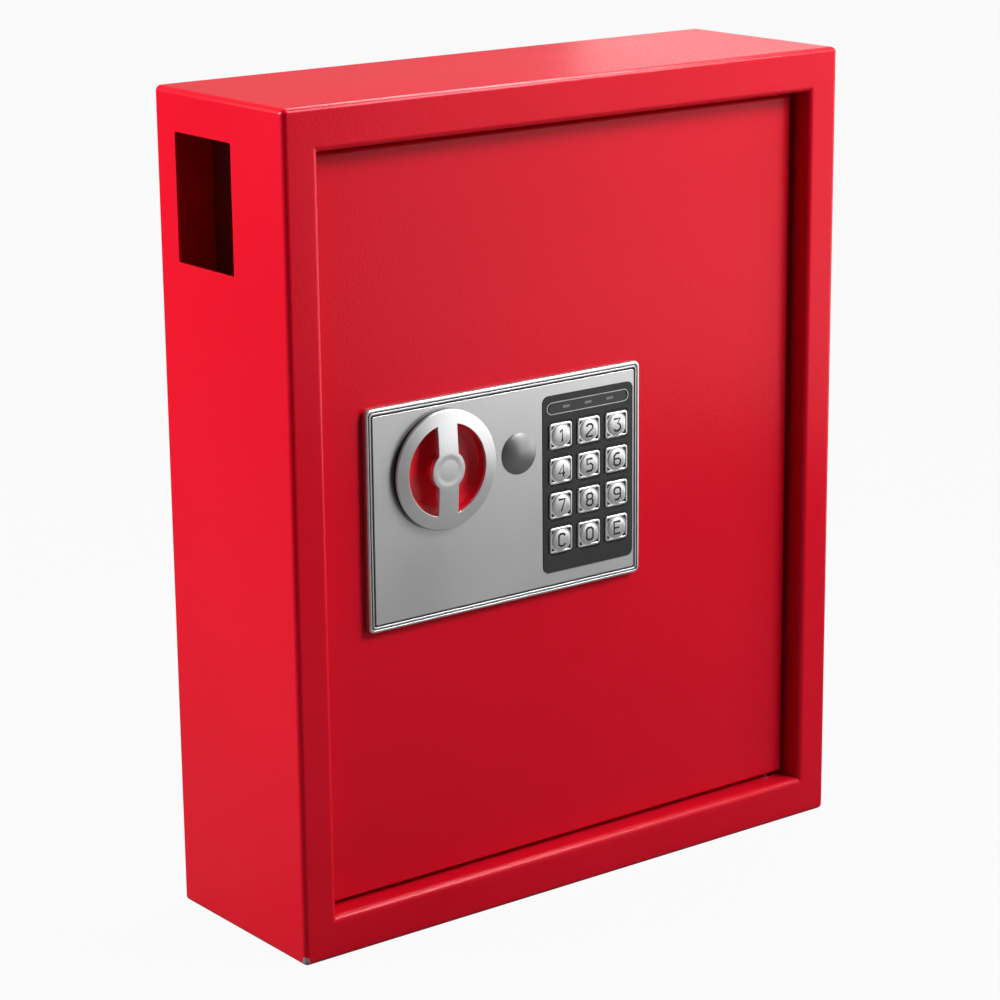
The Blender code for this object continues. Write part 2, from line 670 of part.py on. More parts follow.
def build_hook_bars():
    """Five bars with eight hooks each, all copies of one mesh."""
    left, right = rail_centres()
    length = right - left + RAIL_WIDTH
    pitch = length / HOOKS_PER_BAR
    front_y = -HOOK_BAR_SHEET / 2
    first = block("hook_bar_1", (-length / 2, -HOOK_BAR_SHEET / 2, -HOOK_BAR_HEIGHT / 2),
                  (length / 2, HOOK_BAR_SHEET / 2, HOOK_BAR_HEIGHT / 2), ZINC)
    wire = hook_wire(front_y)
    bm = bmesh.new()
    for i in range(HOOKS_PER_BAR):
        before = len(bm.verts)
        bm.from_mesh(wire)
        bmesh.ops.translate(bm, vec=((i - (HOOKS_PER_BAR - 1) / 2) * pitch, 0, 0), verts=bm.verts[before:])
    weld(first, place("hooks", finish_mesh("hooks", bm), None))
    baked(first)
    first.data.materials.clear()
    first.data.materials.append(ZINC)
    centre_x = (left + right) / 2
    centre_y = BACK_PANEL_FRONT_Y - SEAT_GAP - RAIL_DEPTH - SEAT_GAP - HOOK_BAR_SHEET / 2
    bars = [first]
    for i in range(1, HOOK_BAR_COUNT):
        bar = bpy.data.objects.new("hook_bar_%d" % (i + 1), first.data)
        PARTS.objects.link(bar)
        bars.append(bar)
    for i, bar in enumerate(bars):
        bar.location = (centre_x, centre_y, CABINET_HEIGHT - TOP_BAR_SETBACK - i * HOOK_BAR_PITCH)
    bpy.context.view_layer.update()
    return bars


def build_hinge_bushes():
    """A flanged bush in each return flange, where a door pin turns."""
    bore = PIN_DIAMETER / 2 + RUNNING_GAP
    wall = bore + BUSH_WALL
    head = bore + BUSH_HEAD_WALL
    sheet = BODY_SHEET + SEAT_GAP
    profile = [(bore, 0), (wall, 0), (wall, sheet), (head, sheet), (head, sheet + BUSH_HEAD_HEIGHT),
               (bore, sheet + BUSH_HEAD_HEIGHT)]
    profile.reverse()
    turn_over = (math.radians(180), 0, 0)
    turned("hinge_bush_top", profile, (HINGE_X, HINGE_Y, OPENING_TOP), NYLON, (0, 0, 0), 20, closed=True)
    turned("hinge_bush_base", profile, (HINGE_X, HINGE_Y, OPENING_BASE), NYLON, turn_over, 20, closed=True)


def build_door_panel():
    """The door: a folded pan with holes for the lock, and welded studs for the cover."""
    door = sheet_pan("door_panel", (DOOR_LEFT, DOOR_REAR_Y, DOOR_BASE), (DOOR_RIGHT, DOOR_FACE_Y, DOOR_TOP),
                     DOOR_SHEET, DOOR_FOLD_RADIUS, RED_COAT)
    knob_hole = KNOB_OPENING_DIAMETER + 2 * (CUP_WALL + CUP_HOLE_GAP)
    hole(door, "door_knob_cutter", (KNOB_X, DOOR_FACE_Y, KNOB_Z), knob_hole, 2 * CUT_OVERRUN, FACING_FRONT, 32)
    keyhole = LOCK_BODY_DIAMETER + 2 * RUNNING_GAP
    hole(door, "door_keyhole_cutter", (KEYHOLE_X, DOOR_FACE_Y, KNOB_Z), keyhole, 2 * CUT_OVERRUN, FACING_FRONT)
    low, high = keypad_opening()
    cut(door, block("door_keypad_cutter", low, high, None))
    pin_hole = PIN_DIAMETER + 2 * RUNNING_GAP
    for end, level in (("top", DOOR_TOP), ("base", DOOR_BASE)):
        hole(door, "pin_hole_cutter_" + end, (HINGE_X, HINGE_Y, level), pin_hole, 2 * CUT_OVERRUN, (0, 0, 0), 16)
    for side, level in bolt_levels():
        hole(door, "bolt_hole_cutter_" + side, (DOOR_LEFT, BOLT_Y, level), BOLT_DIAMETER + 2 * RUNNING_GAP,
             2 * CUT_OVERRUN, FACING_LEFT)
    for end, level in cover_stud_levels():
        stud = rod("cover_stud_" + end, (cover_stud_x(), DOOR_INNER_Y - WELD_OVERLAP, level),
                   COVER_STUD_PROUD + WELD_OVERLAP, COVER_STUD_DIAMETER, None, FACING_BACK, 10)
        weld(door, stud)
    return smooth(door, math.radians(20))


def keypad_opening():
    """The corners of the opening behind the keypad, through the lock panel and the door."""
    half_width = FASCIA_WIDTH / 2 - FASCIA_LEDGE
    half_height = FASCIA_HEIGHT / 2 - FASCIA_LEDGE
    low = (FASCIA_X - half_width, PANEL_FACE_Y - CUT_OVERRUN, FASCIA_Z - half_height)
    high = (FASCIA_X + half_width, DOOR_INNER_Y + CUT_OVERRUN, FASCIA_Z + half_height)
    return low, high


def bolt_levels():
    """The heights of the two bolts."""
    return (("upper", KNOB_Z + BOLT_SPREAD / 2), ("lower", KNOB_Z - BOLT_SPREAD / 2))


def cover_stud_x():
    """The studs that hold the cover stand at the middle of its width."""
    return (COVER_LEFT + COVER_RIGHT) / 2


def cover_stud_levels():
    """The heights of the studs, on the middle of the cover's rim."""
    return (("top", COVER_TOP + COVER_RIM / 2), ("base", COVER_BASE - COVER_RIM / 2))


def build_hinge_pins():
    """Two pins with collars inside the door, whose ends turn in the bushes."""
    radius = PIN_DIAMETER / 2
    tip = BODY_SHEET + SEAT_GAP + BUSH_HEAD_HEIGHT + PIN_PROUD
    collar_top = -(DOOR_GAP + DOOR_SHEET + SEAT_GAP)
    collar_base = collar_top - PIN_COLLAR_HEIGHT
    profile = [(0, tip), (radius - PIN_TIP_CHAMFER, tip), (radius, tip - PIN_TIP_CHAMFER), (radius, collar_top),
               (PIN_COLLAR_DIAMETER / 2, collar_top), (PIN_COLLAR_DIAMETER / 2, collar_base), (0, collar_base)]
    top = turned("hinge_pin_top", profile, (HINGE_X, HINGE_Y, OPENING_TOP), STEEL, (0, 0, 0), 20)
    turn_over = (math.radians(180), 0, 0)
    base = turned("hinge_pin_base", profile, (HINGE_X, HINGE_Y, OPENING_BASE), STEEL, turn_over, 20)
    return top, base


def build_lock_panel():
    """The silver lock panel with its raised rim and the groove inside the rim."""
    thickness = PANEL_PROUD - SEAT_GAP
    panel = plate("lock_panel", PANEL_WIDTH, PANEL_HEIGHT, PANEL_CORNER_RADIUS, PANEL_FACE_Y, thickness,
                  (PANEL_X, PANEL_Z), SILVER, PANEL_EDGE_ROUND)
    cut(panel, groove_cutter())
    knob_hole = KNOB_OPENING_DIAMETER + 2 * (CUP_WALL + CUP_HOLE_GAP)
    hole(panel, "panel_knob_cutter", (KNOB_X, PANEL_FACE_Y, KNOB_Z), knob_hole, 2 * CUT_OVERRUN, FACING_FRONT, 32)
    plug_hole = CAP_PLUG_DIAMETER + 2 * RUNNING_GAP
    hole(panel, "panel_keyhole_cutter", (KEYHOLE_X, PANEL_FACE_Y, KNOB_Z), plug_hole, 2 * CUT_OVERRUN, FACING_FRONT)
    low, high = keypad_opening()
    cut(panel, block("panel_keypad_cutter", low, high, None))
    recess_depth = FASCIA_BACK_Y + SEAT_GAP - PANEL_FACE_Y
    cut(panel, plate("fascia_recess_cutter", FASCIA_WIDTH + 2 * SEAT_GAP, FASCIA_HEIGHT + 2 * SEAT_GAP,
                     FASCIA_CORNER_RADIUS + SEAT_GAP, PANEL_FACE_Y - CUT_OVERRUN, CUT_OVERRUN + recess_depth,
                     (FASCIA_X, FASCIA_Z), None))
    return panel


def groove_cutter():
    """A thin closed ring that cuts the groove round the panel's face."""
    bm = bmesh.new()
    face = rounded_outline(bm, PANEL_WIDTH - 2 * PANEL_RIM_WIDTH, PANEL_HEIGHT - 2 * PANEL_RIM_WIDTH,
                           PANEL_CORNER_RADIUS / 2 + GROOVE_WIDTH, 2)
    bmesh.ops.translate(bm, vec=(0, -CUT_OVERRUN, 0), verts=bm.verts)
    ring = bmesh.ops.inset_region(bm, faces=face, thickness=GROOVE_WIDTH, use_boundary=True,
                                  use_even_offset=True)["faces"]
    bmesh.ops.delete(bm, geom=face, context="FACES_ONLY")
    push(bm, ring, CUT_OVERRUN + GROOVE_DEPTH)
    return place("groove_cutter", finish_mesh("groove_cutter", bm), None, (PANEL_X, PANEL_FACE_Y, PANEL_Z))


def key_places():
    """Each key's name and the centre of its face in X and Z."""
    top_row = FASCIA_BASE + KEY_BASE_MARGIN + (len(KEY_ROWS) - 1) * KEY_PITCH
    places = []
    for row, labels in enumerate(KEY_ROWS):
        for column, label in enumerate(labels):
            x = FASCIA_X + (column - (len(labels) - 1) / 2) * KEY_PITCH
            places.append((label, x, top_row - row * KEY_PITCH))
    return places


def build_keypad():
    """The black fascia, the keys behind it, the window, the mat and the board."""
    fascia = plate("keypad_fascia", FASCIA_WIDTH, FASCIA_HEIGHT, FASCIA_CORNER_RADIUS, FASCIA_FACE_Y, FASCIA_SHEET,
                   (FASCIA_X, FASCIA_Z), BLACK)
    key_cut = KEY_SIZE + 2 * RUNNING_GAP
    for label, x, z in key_places():
        cut(fascia, plate("key_cutter_" + label, key_cut, key_cut, KEY_CORNER_RADIUS + RUNNING_GAP,
                          FASCIA_FACE_Y - CUT_OVERRUN, 2 * CUT_OVERRUN, (x, z), None, corner_segments=2))
    cut(fascia, plate("window_cutter", WINDOW_WIDTH + 2 * SEAT_GAP, WINDOW_HEIGHT + 2 * SEAT_GAP,
                      WINDOW_HEIGHT / 2, FASCIA_FACE_Y - CUT_OVERRUN, 2 * CUT_OVERRUN, (FASCIA_X, WINDOW_Z), None))
    outline = (WINDOW_WIDTH, WINDOW_HEIGHT, WINDOW_HEIGHT / 2 - SEAT_GAP)
    stepped_plate("indicator_window", outline, WINDOW_FLANGE, WINDOW_FLANGE, FASCIA_SHEET + SEAT_GAP, 0,
                  FASCIA_FACE_Y, (FASCIA_X, WINDOW_Z), SMOKE)
    build_key_mat()
    build_circuit_board()
    return build_keys()


def build_keys():
    """Twelve keys that share one mesh: a skirt, a square cap and a round pad."""
    rise = KEY_PROUD + FASCIA_SHEET + SEAT_GAP
    face_y = FASCIA_FACE_Y - KEY_PROUD
    places = key_places()
    label, x, z = places[0]
    first = stepped_plate("key_" + label, (KEY_SIZE, KEY_SIZE, KEY_CORNER_RADIUS), KEY_SKIRT_WALL, KEY_SKIRT_SHEET,
                          rise, KEY_EDGE_STEP, face_y, (x, z), KEY_METAL)
    radius = KEY_PAD_DIAMETER / 2
    brow_share = 0.6
    brow_rise_share = 0.75
    dome = [(0, KEY_PAD_RISE), (radius * brow_share, KEY_PAD_RISE * brow_rise_share), (radius, 0),
            (radius, -WELD_OVERLAP), (0, -WELD_OVERLAP)]
    pad = turned("key_pad", dome, (x, face_y, z), None, FACING_FRONT, 20)
    baked(weld(first, pad))
    keys = [first]
    for label, x, z in places[1:]:
        key = bpy.data.objects.new("key_" + label, first.data)
        key.location = (x, face_y, z)
        PARTS.objects.link(key)
        keys.append(key)
    bpy.context.view_layer.update()
    return keys


def build_key_mat():
    """The rubber contact mat, with a dome behind each key that leaves the key its travel."""
    low, high = keypad_opening()
    front_y = MECHANISM_Y - SEAT_GAP - MAT_SHEET
    key_back_y = FASCIA_BACK_Y + SEAT_GAP + KEY_SKIRT_SHEET
    dome_height = front_y - key_back_y - KEY_TRAVEL - SEAT_GAP
    top = WINDOW_Z - WINDOW_HEIGHT / 2 - 2 * WINDOW_FLANGE
    mat = block("key_mat", (low[0] + SEAT_GAP, front_y, low[2] + SEAT_GAP),
                (high[0] - SEAT_GAP, front_y + MAT_SHEET, top), RUBBER)
    for label, x, z in key_places():
        dome = rod("mat_dome_" + label, (x, front_y + WELD_OVERLAP, z), dome_height + WELD_OVERLAP,
                   MAT_DOME_DIAMETER, None, FACING_FRONT, 8)
        weld(mat, dome)
    return mat


def build_circuit_board():
    """The board behind the mat, with three indicator lamps in front and a chip behind."""
    low, high = keypad_opening()
    board = block("circuit_board", (low[0] - BOARD_MARGIN, MECHANISM_Y, low[2] - BOARD_MARGIN),
                  (high[0] + BOARD_MARGIN, MECHANISM_Y + BOARD_SHEET, high[2] + BOARD_MARGIN), BOARD_GREEN)
    for i in range(-1, 2):
        lamp = rod("lamp_%d" % (i + 2), (FASCIA_X + i * LAMP_PITCH, MECHANISM_Y + WELD_OVERLAP, WINDOW_Z),
                   LAMP_HEIGHT + WELD_OVERLAP, LAMP_DIAMETER, None, FACING_FRONT, 12)
        weld(board, lamp)
    rear_y = MECHANISM_Y + BOARD_SHEET
    half = BOARD_CHIP_SIZE / 2
    chip = block("board_chip", (FASCIA_X - half, rear_y - WELD_OVERLAP, FASCIA_Z - half),
                 (FASCIA_X + half, rear_y + BOARD_CHIP_HEIGHT, FASCIA_Z + half), None)
    weld(board, chip)
    return board


def build_knob():
    """The turning knob: silver ring with its grip bar, and the red cup inside it."""
    outer = KNOB_DIAMETER / 2
    opening = KNOB_OPENING_DIAMETER / 2
    back = KNOB_PROUD - KNOB_FACE_SHEET
    profile = [(opening, KNOB_PROUD)]
    profile += arc(outer - KNOB_EDGE_ROUND, KNOB_PROUD - KNOB_EDGE_ROUND, KNOB_EDGE_ROUND, 90, 0, 3)
    profile += [(outer, SEAT_GAP), (outer - KNOB_SKIRT_WALL, SEAT_GAP), (outer - KNOB_SKIRT_WALL, back),
                (opening, back)]
    centre = (KNOB_X, PANEL_FACE_Y, KNOB_Z)
    ring = turned("knob_ring", profile, centre, SILVER, FACING_FRONT, KNOB_STEPS, closed=True)
    front_y = PANEL_FACE_Y - KNOB_PROUD
    reach = (outer + opening) / 2
    bar = block("knob_bar", (KNOB_X - KNOB_BAR_WIDTH / 2, front_y + KNOB_BAR_SINK, KNOB_Z - reach),
                (KNOB_X + KNOB_BAR_WIDTH / 2, front_y + KNOB_FACE_SHEET - KNOB_BAR_SINK, KNOB_Z + reach), None)
    weld(ring, bar)
    hub_back = front_y + KNOB_FACE_SHEET - KNOB_BAR_SINK / 2
    hub = rod("knob_hub", (KNOB_X, hub_back, KNOB_Z), KNOB_FACE_SHEET - KNOB_BAR_SINK, KNOB_HUB_DIAMETER, None,
              FACING_FRONT, 32)
    weld(ring, hub)
    dimple = KNOB_DIMPLE_DIAMETER / 2
    shares = (1, 0.75, 0.5, 0.25, 0)
    bowl = [(0, CUT_OVERRUN), (dimple, CUT_OVERRUN)]
    bowl += [(dimple * share, -KNOB_DIMPLE_DEPTH * (1 - share * share)) for share in shares]
    hub_front = hub_back - KNOB_FACE_SHEET + KNOB_BAR_SINK
    cut(ring, turned("dimple_cutter", bowl, (KNOB_X, hub_front, KNOB_Z), None, FACING_FRONT, 24))
    mouth = KNOB_PROUD - KNOB_FACE_SHEET - SEAT_GAP
    floor = mouth - CUP_DEPTH
    inner = CUP_FLOOR_DIAMETER / 2
    bore = SPINDLE_DIAMETER / 2 + RUNNING_GAP
    boss = CUP_BOSS_DIAMETER / 2
    shoulder = (inner + opening) / 2 + CUP_WALL
    dish = [(opening + CUP_LIP_WIDTH, mouth), (opening + CUP_LIP_WIDTH, mouth - CUP_WALL),
            (opening + CUP_WALL, mouth - CUP_WALL), (shoulder + CUP_WALL, floor + CUP_DEPTH / 4),
            (inner, floor - CUP_WALL), (bore, floor - CUP_WALL), (bore, mouth), (boss, mouth), (boss, floor),
            (inner, floor), (shoulder, floor + CUP_DEPTH / 4), (opening, mouth)]
    cup = turned("knob_cup", dish, centre, RED_PLASTIC, FACING_FRONT, KNOB_STEPS, closed=True)
    return ring, cup


def build_spindle_and_cam():
    """The knob's shaft through the door, and the cam on its inner end."""
    front_y = PANEL_FACE_Y - KNOB_PROUD + KNOB_FACE_SHEET + SEAT_GAP
    cam_back_y = BOLT_PLATE_Y - BOLT_PLATE_SHEET / 2 - 2 * SEAT_GAP
    cam_front_y = cam_back_y - CAM_SHEET
    spindle = rod("knob_spindle", (KNOB_X, front_y, KNOB_Z), cam_front_y - SEAT_GAP - front_y, SPINDLE_DIAMETER,
                  STEEL, FACING_BACK)
    cam = rod("bolt_cam", (KNOB_X, cam_front_y, KNOB_Z), CAM_SHEET, CAM_BOSS_DIAMETER, STEEL, FACING_BACK)
    pin_x, pin_z = cam_pin_place()
    arm = rod("cam_arm", (pin_x, cam_front_y + SEAT_GAP, pin_z), CAM_SHEET - 2 * SEAT_GAP, 2 * CAM_PIN_DIAMETER,
              None, FACING_BACK, 16)
    weld(cam, arm)
    pin = rod("cam_pin", (pin_x, cam_back_y - WELD_OVERLAP - SEAT_GAP, pin_z),
              CAM_PIN_PROUD + WELD_OVERLAP + SEAT_GAP, CAM_PIN_DIAMETER, None, FACING_BACK, 16)
    weld(cam, pin)
    return spindle, cam


def cam_radius():
    """The radius at which a quarter turn moves the pin by the bolts' throw."""
    return BOLT_THROW / (2 * math.sin(CAM_START_ANGLE))


def cam_pin_place():
    """Where the cam's pin stands with the bolts drawn in."""
    radius = cam_radius()
    return KNOB_X + radius * math.sin(CAM_START_ANGLE), KNOB_Z + radius * math.cos(CAM_START_ANGLE)


def stud_places():
    """The two guide studs' centres in X and Z."""
    x = KNOB_X + STUD_RIGHT_OF_KNOB
    return (("upper", x, KNOB_Z + STUD_SPREAD / 2), ("lower", x, KNOB_Z - STUD_SPREAD / 2))


def build_bolt_work():
    """The sliding bolt plate and the two round bolts on its flange."""
    flange_x = BOLT_TAIL_X + SEAT_GAP + BOLT_PLATE_SHEET / 2
    path = [(flange_x, BOLT_PLATE_Y - BOLT_PLATE_FLANGE), (flange_x, BOLT_PLATE_Y),
            (flange_x + BOLT_PLATE_LENGTH, BOLT_PLATE_Y)]
    bolt_plate = folded_strip("bolt_plate", path, KNOB_Z - BOLT_PLATE_HEIGHT / 2, KNOB_Z + BOLT_PLATE_HEIGHT / 2,
                              BOLT_PLATE_SHEET, ZINC)
    cut_low, cut_high = BOLT_PLATE_Y - CUT_OVERRUN, BOLT_PLATE_Y + CUT_OVERRUN
    slot_half = STUD_DIAMETER / 2 + RUNNING_GAP
    for side, x, z in stud_places():
        cut(bolt_plate, block("stud_slot_cutter_" + side, (x - slot_half, cut_low, z - slot_half),
                              (x + BOLT_THROW + slot_half, cut_high, z + slot_half), None))
    pin_x, pin_z = cam_pin_place()
    pin_half = CAM_PIN_DIAMETER / 2 + RUNNING_GAP
    cut(bolt_plate, block("cam_slot_cutter", (pin_x - pin_half - CAM_SLOT_SLACK, cut_low, pin_z - pin_half),
                          (pin_x + pin_half + CAM_SLOT_SLACK, cut_high, KNOB_Z + cam_radius() + pin_half), None))
    bolts = [rod("bolt_" + side, (BOLT_TAIL_X, BOLT_Y, level), BOLT_LENGTH, BOLT_DIAMETER, STEEL, FACING_LEFT,
                 24, BOLT_TIP_CHAMFER) for side, level in bolt_levels()]
    return [bolt_plate] + bolts


def build_mechanism_plate():
    """The plate inside the door that carries the bolt work, with its guide studs."""
    left = COVER_LEFT + COVER_SHEET + MECHANISM_EDGE_GAP
    base = COVER_BASE + COVER_SHEET + MECHANISM_EDGE_GAP
    top = COVER_TOP - COVER_SHEET - MECHANISM_EDGE_GAP
    base_plate = block("mechanism_plate", (left, MECHANISM_Y, base), (left + MECHANISM_WIDTH, MECHANISM_BACK_Y, top),
                       ZINC)
    hole(base_plate, "spindle_cutter", (KNOB_X, MECHANISM_Y, KNOB_Z), SPINDLE_DIAMETER + 2 * RUNNING_GAP,
         2 * CUT_OVERRUN, FACING_FRONT)
    hole(base_plate, "lock_body_cutter", (KEYHOLE_X, MECHANISM_Y, KNOB_Z), LOCK_BODY_DIAMETER + 2 * RUNNING_GAP,
         2 * CUT_OVERRUN, FACING_FRONT)
    radius = STUD_DIAMETER / 2
    head = STUD_HEAD_DIAMETER / 2
    head_start = BOLT_PLATE_Y + BOLT_PLATE_SHEET / 2 + SEAT_GAP - MECHANISM_BACK_Y - SEAT_GAP
    profile = [(0, head_start + STUD_HEAD_HEIGHT), (head, head_start + STUD_HEAD_HEIGHT), (head, head_start),
               (radius, head_start), (radius, 0), (0, 0)]
    for side, x, z in stud_places():
        turned("guide_stud_" + side, profile, (x, MECHANISM_BACK_Y + SEAT_GAP, z), STEEL, FACING_BACK, 16)
    return base_plate


def build_solenoid():
    """The solenoid below the bolt plate, its plunger and the spring on the plunger."""
    tip_z = KNOB_Z - BOLT_PLATE_HEIGHT / 2 - SEAT_GAP
    top_z = tip_z - PLUNGER_STAND
    front_y = MECHANISM_BACK_Y + SEAT_GAP
    rear_y = COVER_BACK_Y - COVER_SHEET - SOLENOID_COVER_GAP
    body = block("solenoid_body", (KNOB_X - SOLENOID_WIDTH / 2, front_y, top_z - SOLENOID_HEIGHT),
                 (KNOB_X + SOLENOID_WIDTH / 2, rear_y, top_z), ZINC, SOLENOID_EDGE_ROUND)
    bore_base = top_z - PLUNGER_SINK - PLUNGER_TRAVEL - SEAT_GAP
    bore = rod("solenoid_bore_cutter", (KNOB_X, BOLT_PLATE_Y, bore_base), top_z + CUT_OVERRUN - bore_base,
               PLUNGER_DIAMETER + 2 * RUNNING_GAP, None, (0, 0, 0))
    cut(body, bore)
    radius = PLUNGER_DIAMETER / 2
    collar = PLUNGER_COLLAR_DIAMETER / 2
    collar_top = PLUNGER_STAND - PLUNGER_COLLAR_DROP
    collar_base = collar_top - PLUNGER_COLLAR_HEIGHT
    profile = [(0, PLUNGER_STAND), (radius, PLUNGER_STAND), (radius, collar_top), (collar, collar_top),
               (collar, collar_base), (radius, collar_base), (radius, -PLUNGER_SINK), (0, -PLUNGER_SINK)]
    plunger = turned("solenoid_plunger", profile, (KNOB_X, BOLT_PLATE_Y, top_z), STEEL, (0, 0, 0), 20)
    spring = build_spring(top_z, collar_base)
    return body, plunger, spring


def build_spring(seat_z, height):
    """The open coil spring between the solenoid and the plunger's collar."""
    coil_radius = (PLUNGER_DIAMETER / 2 + RUNNING_GAP + PLUNGER_COLLAR_DIAMETER / 2) / 2
    low = SEAT_GAP + SPRING_WIRE_DIAMETER / 2
    high = height - SEAT_GAP - SPRING_WIRE_DIAMETER / 2
    count = SPRING_TURNS * SPRING_POINTS_PER_TURN
    curve = bpy.data.curves.new("plunger_spring", "CURVE")
    curve.dimensions = "3D"
    curve.bevel_depth = SPRING_WIRE_DIAMETER / 2
    curve.bevel_resolution = 1
    curve.use_fill_caps = True
    spline = curve.splines.new("POLY")
    spline.points.add(count)
    for i, point in enumerate(spline.points):
        turn = 2 * math.pi * i / SPRING_POINTS_PER_TURN
        point.co = (coil_radius * math.cos(turn), coil_radius * math.sin(turn), low + (high - low) * i / count, 1)
    spring = bpy.data.objects.new("plunger_spring", curve)
    spring.location = (KNOB_X, BOLT_PLATE_Y, seat_z)
    curve.materials.append(STEEL)
    PARTS.objects.link(spring)
    return spring


def build_emergency_lock():
    """The key lock under the grey cap: a threaded body and its turning core."""
    front_y = PANEL_FACE_Y + PANEL_PROUD
    tail_back_y = BOLT_PLATE_Y - BOLT_PLATE_SHEET / 2 - SEAT_GAP
    tail_front_y = tail_back_y - LOCK_TAIL_SHEET
    body_back_y = tail_front_y - SEAT_GAP
    outer = LOCK_BODY_DIAMETER / 2
    bore = LOCK_CORE_DIAMETER / 2 + RUNNING_GAP
    nut = LOCK_NUT_DIAMETER / 2
    nut_low = MECHANISM_BACK_Y + SEAT_GAP - front_y
    profile = [(bore, 0), (outer, 0), (outer, nut_low), (nut, nut_low), (nut, nut_low + LOCK_NUT_HEIGHT),
               (outer, nut_low + LOCK_NUT_HEIGHT), (outer, body_back_y - front_y), (bore, body_back_y - front_y)]
    profile.reverse()
    centre = (KEYHOLE_X, front_y, KNOB_Z)
    turned("emergency_lock_body", profile, centre, BRASS, FACING_BACK, 24, closed=True)
    core = rod("emergency_lock_core", (KEYHOLE_X, front_y + LOCK_CORE_SETBACK, KNOB_Z),
               tail_back_y - front_y - LOCK_CORE_SETBACK, LOCK_CORE_DIAMETER, BRASS, FACING_BACK, 20)
    cut(core, block("keyway_cutter", (KEYHOLE_X - KEYWAY_WIDTH / 2, front_y - CUT_OVERRUN, KNOB_Z - KEYWAY_HEIGHT / 2),
                    (KEYHOLE_X + KEYWAY_WIDTH / 2, front_y + KEYWAY_DEPTH, KNOB_Z + KEYWAY_HEIGHT / 2), None))
    tail = block("lock_tail", (KEYHOLE_X - LOCK_TAIL_WIDTH / 2, tail_front_y, KNOB_Z - LOCK_TAIL_LENGTH),
                 (KEYHOLE_X + LOCK_TAIL_WIDTH / 2, tail_back_y - SEAT_GAP / 2, KNOB_Z), None)
    weld(core, tail)
    return core


def build_keyhole_cap():
    """The grey domed cap that plugs over the emergency keyhole."""
    radius = CAP_DIAMETER / 2
    plug = CAP_PLUG_DIAMETER / 2
    edge = SEAT_GAP + CAP_EDGE
    crown = CAP_RISE - CAP_EDGE
    shares = (0, 0.3, 0.55, 0.75, 0.9, 1)
    profile = [(radius * share, edge + crown * (1 - share * share)) for share in shares]
    profile += [(radius, SEAT_GAP), (plug, SEAT_GAP), (plug, -CAP_PLUG_LENGTH), (0, -CAP_PLUG_LENGTH)]
    return turned("keyhole_cap", profile, (KEYHOLE_X, PANEL_FACE_Y, KNOB_Z), GREY, FACING_FRONT, 32)


def tray_corners():
    """The outer corners of the battery tray."""
    width = CELL_LENGTH + CELL_TIP_LENGTH + 2 * (TRAY_END_GAP + TRAY_WALL)
    height = CELL_COUNT * (CELL_DIAMETER + CELL_GAP) + CELL_GAP + 2 * TRAY_WALL
    front_y = MECHANISM_Y + BOARD_SHEET + TRAY_BOARD_GAP
    rear_y = COVER_BACK_Y - COVER_SHEET - SEAT_GAP
    low = (FASCIA_X - width / 2, front_y, FASCIA_Z - height / 2)
    high = (FASCIA_X + width / 2, rear_y, FASCIA_Z + height / 2)
    return low, high


def build_battery_tray():
    """The tray inside the cover, with its row of cells."""
    low, high = tray_corners()
    tray = block("battery_tray", low, high, BLACK)
    inner_low = [value + TRAY_WALL for value in low]
    inner_high = (high[0] - TRAY_WALL, high[1] + CUT_OVERRUN, high[2] - TRAY_WALL)
    cut(tray, block("tray_cutter", inner_low, inner_high, None))
    radius = CELL_DIAMETER / 2
    tip = CELL_TIP_DIAMETER / 2
    profile = [(0, CELL_LENGTH + CELL_TIP_LENGTH), (tip, CELL_LENGTH + CELL_TIP_LENGTH), (tip, CELL_LENGTH),
               (radius, CELL_LENGTH), (radius, 0), (0, 0)]
    centre_y = low[1] + TRAY_WALL + SEAT_GAP + radius
    half = (CELL_LENGTH + CELL_TIP_LENGTH) / 2
    for i in range(CELL_COUNT):
        z = inner_low[2] + CELL_GAP + radius + i * (CELL_DIAMETER + CELL_GAP)
        way = 1 if i % 2 else -1
        turned("battery_cell_%d" % (i + 1), profile, (FASCIA_X - way * half, centre_y, z), CELL_WRAP,
               (0, way * math.radians(90), 0), 16)
    return tray


